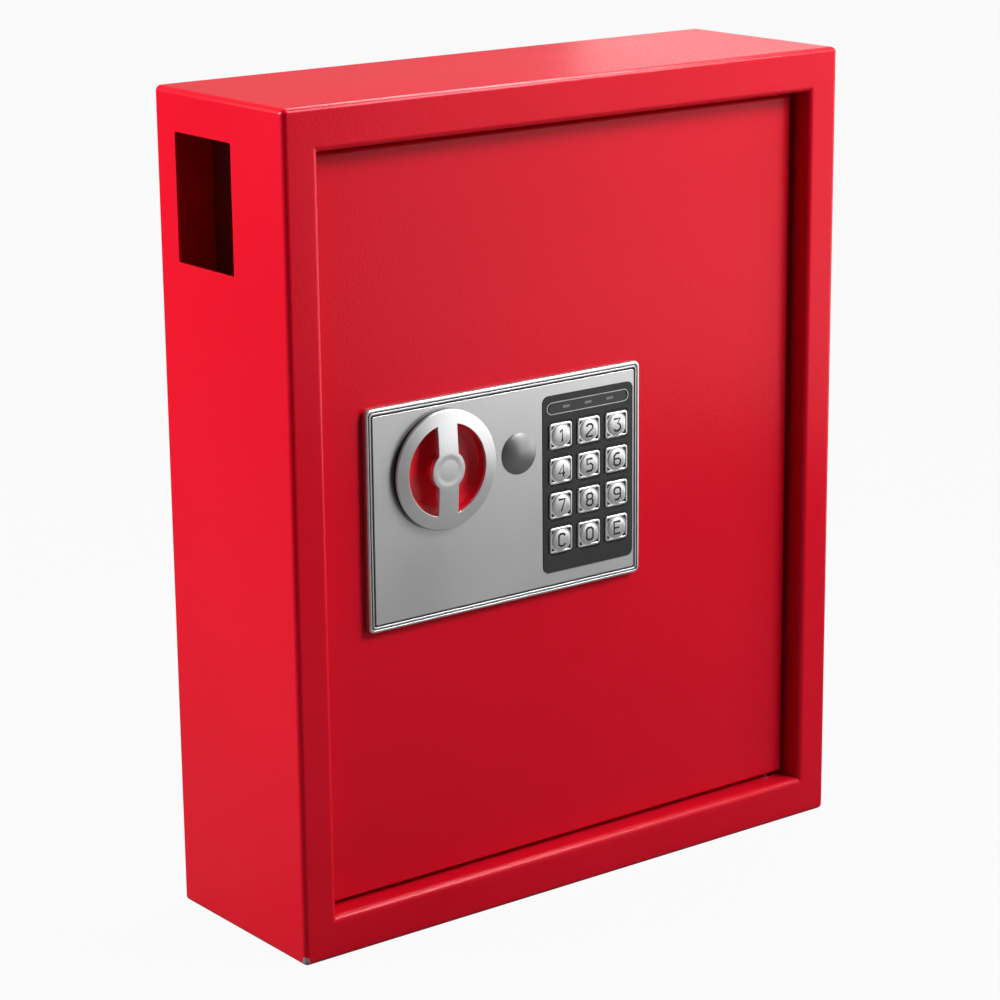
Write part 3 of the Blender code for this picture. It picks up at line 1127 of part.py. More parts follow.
def build_lock_cover():
    """The pan over the bolt work inside the door, with its battery window and nuts."""
    cover = sheet_pan("lock_cover", (COVER_LEFT, COVER_Y + COVER_SHEET, COVER_BASE),
                      (COVER_RIGHT, COVER_BACK_Y, COVER_TOP), COVER_SHEET, COVER_FOLD_RADIUS, BLACK_COAT, COVER_RIM)
    for side, level in bolt_levels():
        hole(cover, "cover_bolt_cutter_" + side, (COVER_LEFT, BOLT_Y, level), BOLT_DIAMETER + 2 * RUNNING_GAP,
             2 * CUT_OVERRUN, FACING_LEFT)
    low, high = tray_corners()
    cut(cover, block("battery_window_cutter", (low[0] + TRAY_WALL, COVER_BACK_Y - CUT_OVERRUN, low[2] + TRAY_WALL),
                     (high[0] - TRAY_WALL, COVER_BACK_Y + CUT_OVERRUN, high[2] - TRAY_WALL), None))
    hole(cover, "reset_cutter", (FASCIA_X, COVER_BACK_Y, reset_level()), RESET_DIAMETER + 2 * RUNNING_GAP,
         2 * CUT_OVERRUN, FACING_FRONT, 16)
    nut_y = COVER_Y + COVER_SHEET + SEAT_GAP
    for end, level in cover_stud_levels():
        stud_hole = COVER_STUD_DIAMETER + 2 * RUNNING_GAP
        hole(cover, "cover_stud_cutter_" + end, (cover_stud_x(), COVER_Y, level), stud_hole, 2 * CUT_OVERRUN,
             FACING_FRONT, 16)
        nut = rod("cover_nut_" + end, (cover_stud_x(), nut_y, level), COVER_NUT_HEIGHT, COVER_NUT_DIAMETER, ZINC,
                  FACING_BACK, 6)
        hole(nut, "nut_cutter_" + end, (cover_stud_x(), nut_y, level), stud_hole, 2 * CUT_OVERRUN, FACING_BACK, 16)
    return cover


def reset_level():
    """The reset button stands a little above the battery tray."""
    return tray_corners()[1][2] + RESET_TOP_OFFSET


def build_battery_door():
    """The sliding lid over the battery window, with three finger ridges."""
    low, high = tray_corners()
    lap = BATTERY_DOOR_LAP
    front_y = COVER_BACK_Y + SEAT_GAP
    lid = block("battery_door", (low[0] - lap, front_y, low[2] - lap),
                (high[0] + lap, front_y + BATTERY_DOOR_SHEET, high[2] + lap), BLACK)
    rear_y = front_y + BATTERY_DOOR_SHEET
    for i in range(BATTERY_DOOR_RIDGES):
        x = high[0] - (2 * i + 1) * lap
        ridge = block("lid_ridge_%d" % (i + 1), (x - lap / 2, rear_y - WELD_OVERLAP, FASCIA_Z - KEY_PITCH),
                      (x, rear_y + BATTERY_DOOR_RIDGE, FASCIA_Z + KEY_PITCH), None)
        weld(lid, ridge)
    return lid


def build_reset_button():
    """The sprung button for a new code, on the cover above the batteries."""
    base_y = COVER_BACK_Y - COVER_SHEET - SEAT_GAP - RESET_FLANGE_HEIGHT
    stem = RESET_DIAMETER / 2
    flange = RESET_FLANGE_DIAMETER / 2
    top = COVER_BACK_Y + RESET_PROUD - base_y
    profile = [(0, top), (stem, top), (stem, RESET_FLANGE_HEIGHT), (flange, RESET_FLANGE_HEIGHT), (flange, 0), (0, 0)]
    return turned("reset_button", profile, (FASCIA_X, base_y, reset_level()), RED_PLASTIC, FACING_BACK, 20)


def build_lead(name, start, leave, arrive, end, material):
    """A short lead on one smooth curve between two connectors."""
    count = 14
    curve = bpy.data.curves.new(name, "CURVE")
    curve.dimensions = "3D"
    curve.bevel_depth = LEAD_DIAMETER / 2
    curve.bevel_resolution = 1
    curve.use_fill_caps = True
    spline = curve.splines.new("POLY")
    spline.points.add(count)
    ends = [Vector(point) for point in (start, leave, arrive, end)]
    weights = (1, 3, 3, 1)
    for i, point in enumerate(spline.points):
        share = i / count
        at = sum((weights[k] * (1 - share) ** (3 - k) * share ** k * ends[k] for k in range(4)), Vector())
        point.co = (*at, 1)
    lead = bpy.data.objects.new(name, curve)
    curve.materials.append(material)
    PARTS.objects.link(lead)
    return lead


def build_leads():
    """The leads from the circuit board to the battery tray and to the solenoid."""
    low, high = tray_corners()
    board_y = MECHANISM_Y + BOARD_SHEET + SEAT_GAP
    x = FASCIA_X + KEY_PITCH
    board_top = FASCIA_Z + FASCIA_HEIGHT / 2 - 2 * FASCIA_LEDGE
    tray_y = (low[1] + high[1]) / 2
    loop = high[2] + LEAD_LOOP
    build_lead("battery_lead", (x, board_y, board_top), (x, board_y + LEAD_LOOP, board_top),
               (x, tray_y, loop + LEAD_LOOP / 2), (x, tray_y, high[2] + SEAT_GAP), RED_PLASTIC)
    tip_z = KNOB_Z - BOLT_PLATE_HEIGHT / 2
    solenoid_z = tip_z - PLUNGER_STAND - SOLENOID_HEIGHT / 2
    solenoid_x = KNOB_X + SOLENOID_WIDTH / 2 + SEAT_GAP
    solenoid_y = MECHANISM_BACK_Y + LEAD_LOOP
    start = (FASCIA_X - KEY_PITCH, board_y, FASCIA_BASE + 2 * FASCIA_LEDGE)
    build_lead("solenoid_lead", start, (start[0], solenoid_y + LEAD_LOOP, start[2]),
               (solenoid_x + 2 * LEAD_LOOP, solenoid_y, solenoid_z), (solenoid_x, solenoid_y, solenoid_z), RUBBER)


def build_cabinet():
    """Build every piece, and hang the moving ones on their joints' axes."""
    build_body_shell()
    build_back_panel()
    build_drop_chute()
    build_key_rails()
    build_hook_bars()
    build_hinge_bushes()
    door_panel = build_door_panel()
    build_hinge_pins()
    build_lock_panel()
    keys = build_keypad()
    ring, cup = build_knob()
    spindle, cam = build_spindle_and_cam()
    bolt_work = build_bolt_work()
    build_mechanism_plate()
    build_solenoid()
    core = build_emergency_lock()
    build_keyhole_cap()
    build_battery_tray()
    build_lock_cover()
    build_battery_door()
    build_reset_button()
    build_leads()
    hang_moving_pieces(door_panel, keys, (ring, cup, spindle, cam), bolt_work, core)


def hang_moving_pieces(door_panel, keys, knob, bolt_work, core):
    """Parent the door's pieces to the hinge axis, and the lock's to their own axes."""
    body_names = ("body_shell", "back_panel", "drop_chute", "key_rail", "hook_bar", "hinge_bush")
    hinge_axis = axis_empty("door_hinge_axis", (HINGE_X, HINGE_Y, DOOR_BASE))
    knob_axis = axis_empty("knob_axis", (KNOB_X, PANEL_FACE_Y, KNOB_Z))
    bolt_axis = axis_empty("bolt_slide_axis", (BOLT_TIP_X, BOLT_Y, KNOB_Z))
    lock_axis = axis_empty("emergency_lock_axis", (KEYHOLE_X, PANEL_FACE_Y, KNOB_Z))
    carry(knob_axis, *knob)
    carry(bolt_axis, *bolt_work)
    carry(lock_axis, core)
    bpy.context.view_layer.update()
    rest = [piece for piece in PARTS.objects if piece.parent is None and piece.name != hinge_axis.name
            and not piece.name.startswith(body_names)]
    carry(hinge_axis, *rest)


for leftover in list(bpy.data.objects):
    bpy.data.objects.remove(leftover)
PARTS = collection("key_cabinet")
CUTTERS = collection("cutters")
RED_COAT = paint("red_powder_coat", (0.62, 0.012, 0.03), 0.38)
SILVER = paint("silver_panel", (0.55, 0.56, 0.56), 0.35, 0.7)
BLACK = paint("black_plastic", (0.03, 0.032, 0.033), 0.45)
BLACK_COAT = paint("black_powder_coat", (0.025, 0.025, 0.027), 0.5)
SMOKE = paint("smoked_window", (0.05, 0.05, 0.05), 0.15)
KEY_METAL = paint("key_silver", (0.72, 0.72, 0.71), 0.25, 0.85)
RED_PLASTIC = paint("red_plastic", (0.6, 0.01, 0.02), 0.35)
GREY = paint("grey_cap", (0.2, 0.21, 0.21), 0.4)
ZINC = paint("zinc_plate", (0.6, 0.61, 0.6), 0.35, 0.9)
STEEL = paint("bright_steel", (0.65, 0.65, 0.66), 0.25, 1.0)
BRASS = paint("brass", (0.7, 0.52, 0.25), 0.3, 1.0)
NYLON = paint("white_nylon", (0.7, 0.69, 0.66), 0.5)
RUBBER = paint("grey_rubber", (0.12, 0.12, 0.125), 0.8)
BOARD_GREEN = paint("circuit_board_green", (0.02, 0.16, 0.06), 0.4)
CELL_WRAP = paint("cell_wrapper", (0.05, 0.05, 0.06), 0.3)
build_cabinet()
print("pieces:", len([piece for piece in PARTS.objects if piece.type != "EMPTY"]))
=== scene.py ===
# %% [markdown]
# # A red key cabinet
#
# This lesson dresses a steel key cabinet for the wall: a folded body with a recessed door, a silver lock
# panel with a turning knob and a keypad, and a slot in the left side for dropping keys through.
# The construction comes from a fixed frame of named solids. Here the pieces that show get finer edges, and
# every piece gets its finish. All lengths are in metres, +Z is up and the door faces -Y.

# %% Load the frame
import math

import bmesh
import bpy
from mathutils import Matrix, Vector


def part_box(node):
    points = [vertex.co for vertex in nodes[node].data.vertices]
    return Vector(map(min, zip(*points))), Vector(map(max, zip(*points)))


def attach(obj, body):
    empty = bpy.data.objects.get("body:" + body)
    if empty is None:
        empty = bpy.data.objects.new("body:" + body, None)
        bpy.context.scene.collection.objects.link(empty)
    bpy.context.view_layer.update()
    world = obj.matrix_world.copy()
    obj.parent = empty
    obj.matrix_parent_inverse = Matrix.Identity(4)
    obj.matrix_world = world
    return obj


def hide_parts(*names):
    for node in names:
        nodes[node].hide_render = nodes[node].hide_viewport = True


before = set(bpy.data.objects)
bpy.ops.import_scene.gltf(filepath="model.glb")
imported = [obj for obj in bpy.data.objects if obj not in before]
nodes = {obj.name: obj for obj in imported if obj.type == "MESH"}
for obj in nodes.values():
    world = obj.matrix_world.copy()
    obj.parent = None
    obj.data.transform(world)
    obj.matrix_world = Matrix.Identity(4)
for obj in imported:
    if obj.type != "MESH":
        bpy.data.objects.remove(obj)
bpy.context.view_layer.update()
MM = 0.001
print("solids in the frame:", len(nodes))

# %% [markdown]
# ## The camera
#
# The cabinet was photographed with a long lens from its left, a little above its top. A camera can be aimed
# with a Track To constraint, but three measured directions hold the small roll of the picture as well, so the
# rotation is written as a matrix whose columns are the camera's right, its up and its back.

# %% Place the camera
def add_object(name, data):
    """An object in the scene that holds a camera, a lamp, a mesh or a curve."""
    made = bpy.data.objects.new(name, data)
    bpy.context.scene.collection.objects.link(made)
    return made


camera_data = bpy.data.cameras.new("photo_camera")
camera_data.sensor_width = 36
camera_data.lens = 111.4
camera_data.clip_start = 0.05
camera_data.clip_end = 20
camera = add_object("photo_camera", camera_data)
eye = Vector((-0.8208, -1.0622, 0.5374))
right = Vector((0.79245, -0.60987, -0.00919)).normalized()
up = Vector((0.16815, 0.20395, 0.96443))
up = (up - right * up.dot(right)).normalized()
back = right.cross(up)
turn = Matrix((right, up, back)).transposed().to_4x4()
camera.matrix_world = Matrix.Translation(eye) @ turn
bpy.context.scene.camera = camera
bpy.context.scene.view_settings.view_transform = "Standard"
print("camera stands %.2f m from the cabinet" % eye.length)

# %% [markdown]
# ## White surroundings
#
# The studio is white behind the cabinet and darker behind the camera, which is why the top looks pale while the
# door stays a deep red. One big dome with a picture could give that, but a ramp over the direction's Y part does
# the same and stays easy to change. Rays from the camera see pure white. Reflections see that white behind the
# cabinet and lose it towards the front, so metal shows the background without washing the paint out.

# %% Build the world
world = bpy.data.worlds.new("studio_world")
bpy.context.scene.world = world
world.use_nodes = True
tree = world.node_tree
tree.nodes.clear()


def shader_math(tree, operation, first, second):
    """A Math node in a shader tree; each operand is a number or another node's output."""
    node = tree.nodes.new("ShaderNodeMath")
    node.operation = operation
    for socket, value in zip(node.inputs, (first, second)):
        if isinstance(value, (int, float)):
            socket.default_value = value
        else:
            tree.links.new(value, socket)
    return node.outputs[0]


def remap(tree, value, start, end, to_start=0.0, to_end=1.0):
    """A Map Range node that takes one span of values to another."""
    node = tree.nodes.new("ShaderNodeMapRange")
    for label, number in (("From Min", start), ("From Max", end), ("To Min", to_start), ("To Max", to_end)):
        node.inputs[label].default_value = number
    tree.links.new(value, node.inputs["Value"])
    return node.outputs["Result"]


def white_rays(tree, reflected):
    """1 for rays from the camera or through glass, and a given share for rays off shiny surfaces."""
    path = tree.nodes.new("ShaderNodeLightPath")
    direct = shader_math(tree, "MAXIMUM", path.outputs["Is Camera Ray"], path.outputs["Is Transmission Ray"])
    shiny = shader_math(tree, "MULTIPLY", path.outputs["Is Glossy Ray"], reflected)
    return shader_math(tree, "MAXIMUM", direct, shiny)


output = tree.nodes.new("ShaderNodeOutputWorld")
dome = tree.nodes.new("ShaderNodeBackground")
seen = tree.nodes.new("ShaderNodeBackground")
mix = tree.nodes.new("ShaderNodeMixShader")
place = tree.nodes.new("ShaderNodeTexCoord")
split = tree.nodes.new("ShaderNodeSeparateXYZ")
ramp = tree.nodes.new("ShaderNodeValToRGB")
ramp.color_ramp.elements[0].color = (0.18, 0.18, 0.185, 1)
ramp.color_ramp.elements[1].color = (0.5, 0.5, 0.5, 1)
dome.inputs["Strength"].default_value = 0.34
seen.inputs["Color"].default_value = (1, 1, 1, 1)
seen.inputs["Strength"].default_value = 1.0
world_gloss = 0.08
darkest_y, palest_y = -0.75, 0.55
tree.links.new(place.outputs["Generated"], split.inputs[0])
backward = remap(tree, split.outputs["Y"], darkest_y, palest_y)
tree.links.new(backward, ramp.inputs["Fac"])
tree.links.new(ramp.outputs["Color"], dome.inputs["Color"])
behind = shader_math(tree, "MULTIPLY", backward, world_gloss)
tree.links.new(white_rays(tree, behind), mix.inputs["Fac"])
tree.links.new(dome.outputs["Background"], mix.inputs[1])
tree.links.new(seen.outputs["Background"], mix.inputs[2])
tree.links.new(mix.outputs["Shader"], output.inputs["Surface"])
print("world shades:", len(tree.nodes), "nodes")

# %% [markdown]
# ## Lamps and floor
#
# Two soft boxes stand on either side, both a little out of the camera's way: one to the left and behind, which
# makes the side the brightest red, and one in front to the right and high, which lets the door fade downwards
# and to the left. Between them the fold of the front corner turns away from both and stays dark. A narrow strip
# overhead draws the fine line of light along the top edge, and a dim card at the back lies mirrored in the top.
# Silver shows what stands round it more than what lights it, so two cards are there for the lock panel: a large
# one near the front, which lets it fade downwards, and a small one at the side, for the right of the grey cap.

# %% Hang the lamps
def soft_box(name, at, target, size, power, spread=180):
    """An area lamp of a width and a height at a point, aimed at another; a grid narrows its spread."""
    lamp = bpy.data.lights.new(name, "AREA")
    lamp.shape = "RECTANGLE"
    lamp.size, lamp.size_y = size
    lamp.energy = power
    lamp.spread = math.radians(spread)
    box = add_object(name, lamp)
    box.location = at
    box.rotation_euler = (Vector(target) - Vector(at)).to_track_quat("-Z", "Y").to_euler()
    box.visible_camera = False


soft_box("left_box", (-0.98, 0.54, 0.72), (-0.15, 0, 0.28), (0.55, 0.55), 4.0, 70)
soft_box("front_box", (0.62, -0.70, 1.02), (0, -0.04, 0.36), (0.44, 0.44), 2.0, 60)
soft_box("front_card", (0.50, -0.41, 0.42), (-0.105, 0.385, 0.42), (0.65, 0.70), 2.3)
soft_box("top_strip", (0.85, 0.20, 1.50), (0, 0, 0.36), (1.1, 0.08), 17)
soft_box("back_card", (1.12, 0.95, 0.60), (0.1, 0, 0.36), (0.5, 0.4), 0.36)
soft_box("side_card", (0.60, -0.19, 0.16), (-0.035, -0.05, 0.18), (0.18, 0.34), 0.50)
print("lamps:", len(bpy.data.lights))

# %% [markdown]
# The floor is a pale sheet that the camera sees almost white. A part of its own shading stays, so the cabinet
# still stands on its shadow.

# %% Lay the floor
floor_mesh = bpy.data.meshes.new("floor")
floor_mesh.from_pydata([(-6, -6, 0), (6, -6, 0), (6, 6, 0), (-6, 6, 0)], [], [(0, 1, 2, 3)])
floor = add_object("floor", floor_mesh)
floor.location.z = -0.0002
pale = bpy.data.materials.new("pale_floor")
pale.use_nodes = True
tree = pale.node_tree
tree.nodes.clear()
output = tree.nodes.new("ShaderNodeOutputMaterial")
matt = tree.nodes.new("ShaderNodeBsdfDiffuse")
matt.inputs["Color"].default_value = (0.18, 0.18, 0.18, 1)
white = tree.nodes.new("ShaderNodeEmission")
white.inputs["Color"].default_value = (1, 1, 1, 1)
mix = tree.nodes.new("ShaderNodeMixShader")
whiteness, floor_gloss = 0.95, 0.04
tree.links.new(shader_math(tree, "MULTIPLY", white_rays(tree, floor_gloss), whiteness), mix.inputs["Fac"])
tree.links.new(matt.outputs["BSDF"], mix.inputs[1])
tree.links.new(white.outputs["Emission"], mix.inputs[2])
tree.links.new(mix.outputs["Shader"], output.inputs["Surface"])
floor_mesh.materials.append(pale)
print("floor laid at z = 0")

# %% [markdown]
# ## Finishes
#
# Several finishes here share an effect. Powder coat flows out into a skin of shallow dimples, like an orange's
# peel, and so, more finely, does the lacquer on the lock panel. A noise texture gives those dimples as a height
# for a Bump node. The effect is built once as a node group with named inputs and outputs, and each material
# places it with its own scale and depth.

# %% A helper for node groups
def start_group(name, inputs, outputs):
    """A shader node group with float inputs and the named float outputs."""
    group = bpy.data.node_groups.new(name, "ShaderNodeTree")
    for label, value in inputs:
        socket = group.interface.new_socket(name=label, in_out="INPUT", socket_type="NodeSocketFloat")
        socket.default_value = value
    for label in outputs:
        group.interface.new_socket(name=label, in_out="OUTPUT", socket_type="NodeSocketFloat")
    entry = group.nodes.new("NodeGroupInput")
    leaving = group.nodes.new("NodeGroupOutput")
    return group, entry, leaving


def noise_in(group, vector, scale, detail):
    """A noise texture that reads a place and a scale from other sockets; returns its node."""
    noise = group.nodes.new("ShaderNodeTexNoise")
    noise.inputs["Detail"].default_value = detail
    group.links.new(vector, noise.inputs["Vector"])
    group.links.new(scale, noise.inputs["Scale"])
    return noise


def blend(group, first, second, share):
    """The sum of a share of one value and the rest of another."""
    return shader_math(group, "ADD", shader_math(group, "MULTIPLY", first, share),
                       shader_math(group, "MULTIPLY", second, 1 - share))


print("group helpers ready")

# %% Orange peel
def build_orange_peel():
    """Shallow dimples of a sprayed coat, and a slow drift in its tone and gloss."""
    inputs = (("Dimples per metre", 700.0), ("Drift per metre", 9.0))
    group, entry, leaving = start_group("orange_peel", inputs, ("Height", "Tone", "Gloss"))
    place = group.nodes.new("ShaderNodeTexCoord").outputs["Object"]
    fine_ratio, fine_share = 2.7, 0.25
    dimples = noise_in(group, place, entry.outputs["Dimples per metre"], 1.5)
    dimples.inputs["Roughness"].default_value = 0.45
    fine_scale = shader_math(group, "MULTIPLY", entry.outputs["Dimples per metre"], fine_ratio)
    fine = noise_in(group, place, fine_scale, 0.0)
    drift = noise_in(group, place, entry.outputs["Drift per metre"], 3.0)
    both = shader_math(group, "ADD", dimples.outputs["Fac"],
                       shader_math(group, "MULTIPLY", fine.outputs["Fac"], fine_share))
    group.links.new(both, leaving.inputs["Height"])
    group.links.new(drift.outputs["Fac"], leaving.inputs["Tone"])
    group.links.new(blend(group, drift.outputs["Fac"], dimples.outputs["Fac"], 0.5), leaving.inputs["Gloss"])
    return group


orange_peel = build_orange_peel()
print("orange_peel outputs:", [item.name for item in orange_peel.interface.items_tree if item.in_out == "OUTPUT"])

# %% [markdown]
# Rolled and drawn metal has long fine marks instead of dimples. A noise that is stretched along one axis draws
# them. A Mapping node can stretch it, but its scale is fixed in the group, so the X part is multiplied by an
# input instead. The same group serves the turned pins and the plated plates, each with its own stretch.

# %% Drawn marks
def build_drawn_marks():
    """Fine marks along one axis, as rolling or turning leaves on metal."""
    inputs = (("Marks per metre", 2500.0), ("Stretch", 0.03), ("Blotch per metre", 60.0))
    group, entry, leaving = start_group("drawn_marks", inputs, ("Height", "Tone"))
    place = group.nodes.new("ShaderNodeTexCoord")
    split = group.nodes.new("ShaderNodeSeparateXYZ")
    join = group.nodes.new("ShaderNodeCombineXYZ")
    group.links.new(place.outputs["Object"], split.inputs[0])
    group.links.new(shader_math(group, "MULTIPLY", split.outputs["X"], entry.outputs["Stretch"]), join.inputs["X"])
    group.links.new(split.outputs["Y"], join.inputs["Y"])
    group.links.new(split.outputs["Z"], join.inputs["Z"])
    marks = noise_in(group, join.outputs["Vector"], entry.outputs["Marks per metre"], 2.0)
    blotch = noise_in(group, place.outputs["Object"], entry.outputs["Blotch per metre"], 2.0)
    group.links.new(marks.outputs["Fac"], leaving.inputs["Height"])
    group.links.new(blend(group, marks.outputs["Fac"], blotch.outputs["Fac"], 0.6), leaving.inputs["Tone"])
    return group


drawn_marks = build_drawn_marks()
print("drawn_marks sockets:", len(drawn_marks.interface.items_tree))

# %% [markdown]
# Each finish is now one call: a dark and a light colour that the group's tone mixes, a low and a high
# roughness, and a bump height. Most of a noise lies between 0.3 and 0.7, so that span is stretched to the whole
# range. Plain numbers such as the metal value and the coat are set on the shader itself.

# %% A helper for finishes
NOISE_SPAN = (0.3, 0.7)


def finish_of(name, group, values, dark, light, gloss, bump, metallic=0.0, coat=0.0, gloss_from="Tone",
              specular=0.5, tint=(1, 1, 1)):
    """A material that mixes two colours and two roughness values by a group's outputs."""
    material = bpy.data.materials.new(name)
    material.use_nodes = True
    tree = material.node_tree
    shader = tree.nodes["Principled BSDF"]
    effect = tree.nodes.new("ShaderNodeGroup")
    effect.node_tree = group
    for label, value in values.items():
        effect.inputs[label].default_value = value
    mix = tree.nodes.new("ShaderNodeMix")
    mix.data_type = "RGBA"
    mix.inputs["A"].default_value = (*dark, 1)
    mix.inputs["B"].default_value = (*light, 1)
    tree.links.new(remap(tree, effect.outputs["Tone"], *NOISE_SPAN), mix.inputs["Factor"])
    tree.links.new(mix.outputs["Result"], shader.inputs["Base Color"])
    tree.links.new(remap(tree, effect.outputs[gloss_from], *NOISE_SPAN, *gloss), shader.inputs["Roughness"])
    dents = tree.nodes.new("ShaderNodeBump")
    dents.inputs["Strength"].default_value = bump[0]
    dents.inputs["Distance"].default_value = bump[1]
    tree.links.new(effect.outputs["Height"], dents.inputs["Height"])
    tree.links.new(dents.outputs["Normal"], shader.inputs["Normal"])
    shader.inputs["Metallic"].default_value = metallic
    shader.inputs["Coat Weight"].default_value = coat
    shader.inputs["Specular IOR Level"].default_value = specular
    shader.inputs["Specular Tint"].default_value = (*tint, 1)
    return material


def peel(dimples, drift=9.0):
    """Values for one use of the orange peel group."""
    return {"Dimples per metre": dimples, "Drift per metre": drift}


def drawn(marks, stretch, blotch=60.0):
    """Values for one use of the drawn marks group."""
    return {"Marks per metre": marks, "Stretch": stretch, "Blotch per metre": blotch}


print("finish helpers ready")

# %% [markdown]
# The red coat is the finish that makes this cabinet. It is a deep crimson with almost no green in it, glossy
# enough to show soft lights and bumpy enough to break them up. The lock panel, the knob and the keys are
# silver paint on plastic and zinc, so their metal value stays below one.

# %% Mix the painted and moulded finishes
deep_tint = (1.0, 0.38, 0.44)
red_coat = finish_of("red_powder_coat", orange_peel, peel(850), (0.585, 0.0032, 0.0150), (0.625, 0.0045, 0.0185),
                     (0.18, 0.27), (0.12, 0.0005), gloss_from="Gloss", specular=0.27, tint=deep_tint)
# The chute's coat is browner than the outer red, its own tone, and darker as painted shade for the dim inside of the
# slot.
red_coat_inside_painted_shade = finish_of("red_powder_coat_inside_painted_shade", orange_peel, peel(520), (0.30, 0.040, 0.034),
                            (0.36, 0.048, 0.040), (0.40, 0.55), (0.25, 0.0006), gloss_from="Gloss",
                            specular=0.2, tint=deep_tint)
panel_silver = finish_of("satin_silver_lacquer", orange_peel, peel(1500, 14), (0.58, 0.585, 0.59),
                         (0.64, 0.645, 0.65), (0.33, 0.39), (0.03, 0.0003), metallic=0.88)
knob_silver = finish_of("knob_silver", orange_peel, peel(1300, 40), (0.68, 0.685, 0.69),
                        (0.74, 0.745, 0.75), (0.27, 0.32), (0.02, 0.0003), metallic=0.92)
key_silver = finish_of("key_silver", orange_peel, peel(1800, 60), (0.66, 0.66, 0.66),
                       (0.74, 0.74, 0.74), (0.26, 0.32), (0.05, 0.0002), metallic=0.92)
cup_red = finish_of("cup_red", orange_peel, peel(1200, 40), (0.68, 0.006, 0.020), (0.76, 0.009, 0.028),
                    (0.26, 0.36), (0.08, 0.0003))
cap_grey = finish_of("cap_grey", orange_peel, peel(2200, 50), (0.20, 0.20, 0.202), (0.24, 0.24, 0.243),
                     (0.30, 0.38), (0.04, 0.0002), metallic=0.80)
black_plastic = finish_of("black_plastic", orange_peel, peel(2600, 40), (0.016, 0.017, 0.017),
                          (0.022, 0.023, 0.023), (0.45, 0.58), (0.12, 0.0002), specular=0.35)
black_coat = finish_of("black_powder_coat", orange_peel, peel(900), (0.016, 0.016, 0.017), (0.024, 0.024, 0.026),
                       (0.45, 0.60), (0.30, 0.0005), gloss_from="Gloss")
# The black of the key characters is print; the same black is painted shade in the panel's grooves, on the knob's
# skirt and in the key corners.
legend_ink_and_painted_shade = finish_of("legend_ink_and_painted_shade", orange_peel, peel(3000, 80), (0.014, 0.014, 0.015),
                       (0.020, 0.020, 0.021), (0.5, 0.6), (0.02, 0.0001), specular=0.3)
lamp_ink = finish_of("lamp_ink", orange_peel, peel(3000, 80), (0.15, 0.15, 0.15), (0.19, 0.19, 0.19),
                     (0.45, 0.55), (0.02, 0.0001))
outline_ink = finish_of("outline_ink", orange_peel, peel(3000, 80), (0.36, 0.37, 0.37), (0.42, 0.43, 0.43),
                        (0.45, 0.55), (0.02, 0.0001))
white_nylon = finish_of("white_nylon", orange_peel, peel(1500, 60), (0.66, 0.65, 0.61), (0.74, 0.73, 0.70),
                        (0.45, 0.55), (0.05, 0.0003))
grey_rubber = finish_of("grey_rubber", orange_peel, peel(2000, 60), (0.10, 0.10, 0.105),
                        (0.14, 0.14, 0.145), (0.75, 0.9), (0.15, 0.0003))
red_plastic = finish_of("red_plastic", orange_peel, peel(1800, 60), (0.52, 0.008, 0.014),
                        (0.60, 0.012, 0.020), (0.30, 0.40), (0.04, 0.0003))
board_green = finish_of("solder_resist_green", orange_peel, peel(1600, 120), (0.012, 0.12, 0.045),
                        (0.022, 0.17, 0.065), (0.30, 0.42), (0.05, 0.0002))
print("painted and moulded finishes:", len(bpy.data.materials))

# %% Mix the metal finishes
zinc = finish_of("zinc_plate", drawn_marks, drawn(1500, 0.05), (0.50, 0.51, 0.52), (0.66, 0.67, 0.67),
                 (0.28, 0.42), (0.06, 0.0002), metallic=0.92)
steel = finish_of("turned_steel", drawn_marks, drawn(4000, 0.02), (0.55, 0.55, 0.56), (0.70, 0.70, 0.71),
                  (0.18, 0.30), (0.05, 0.0001), metallic=1.0)
brass = finish_of("turned_brass", drawn_marks, drawn(3500, 0.04), (0.62, 0.43, 0.17), (0.76, 0.56, 0.27),
                  (0.20, 0.34), (0.05, 0.0001), metallic=1.0)
cell_wrap = finish_of("cell_sleeve", drawn_marks, drawn(900, 0.2), (0.035, 0.037, 0.05), (0.07, 0.072, 0.09),
                      (0.22, 0.34), (0.03, 0.0001), metallic=0.4, coat=0.4)
print("metal finishes mixed")

# %% [markdown]
# The indicator window is smoked plastic, lit through only where a lamp stands. Glass with real transmission
# would cost noise for a strip a few millimetres high, so a dark satin with a faint coat stands for it.

# %% Mix the smoked window
window_smoke = finish_of("smoked_window", orange_peel, peel(900, 90), (0.017, 0.018, 0.019),
                         (0.024, 0.025, 0.026), (0.30, 0.38), (0.02, 0.0001), coat=0.1, specular=0.4)
print("all finishes:", len(bpy.data.materials))

# %% [markdown]
# ## Building sheet metal from rings
#
# The body, the door and the lock panel are all rounded rectangles that change size as they go back. Lofting a
# list of such rings gives every fold its own radius, with exactly the edges that catch the light, which a
# Bevel modifier on a box can't promise. One helper makes the ring, another joins a list of rings into a closed
# mesh.

# %% Helpers for lofted sheet metal
def quarter(radius, steps, grow=True):
    """Points of a quarter fold: how far it has moved in, and how far it has moved forward."""
    points = []
    for i in range(steps + 1):
        angle = math.radians(90 * i / steps)
        points.append((radius * (1 - math.cos(angle)), radius * math.sin(angle)))
    return points if grow else points[::-1]


def ring_of(half_x, half_z, radius, y, steps=6):
    """One rounded rectangle across X and Z, at a depth Y."""
    radius = max(min(radius, half_x, half_z), 0.00005)
    corners = ((1, 1, 0), (-1, 1, 90), (-1, -1, 180), (1, -1, 270))
    points = []
    for side_x, side_z, start in corners:
        for i in range(steps + 1):
            angle = math.radians(start + 90 * i / steps)
            points.append((side_x * (half_x - radius) + radius * math.cos(angle), y,
                           side_z * (half_z - radius) + radius * math.sin(angle)))
    return points


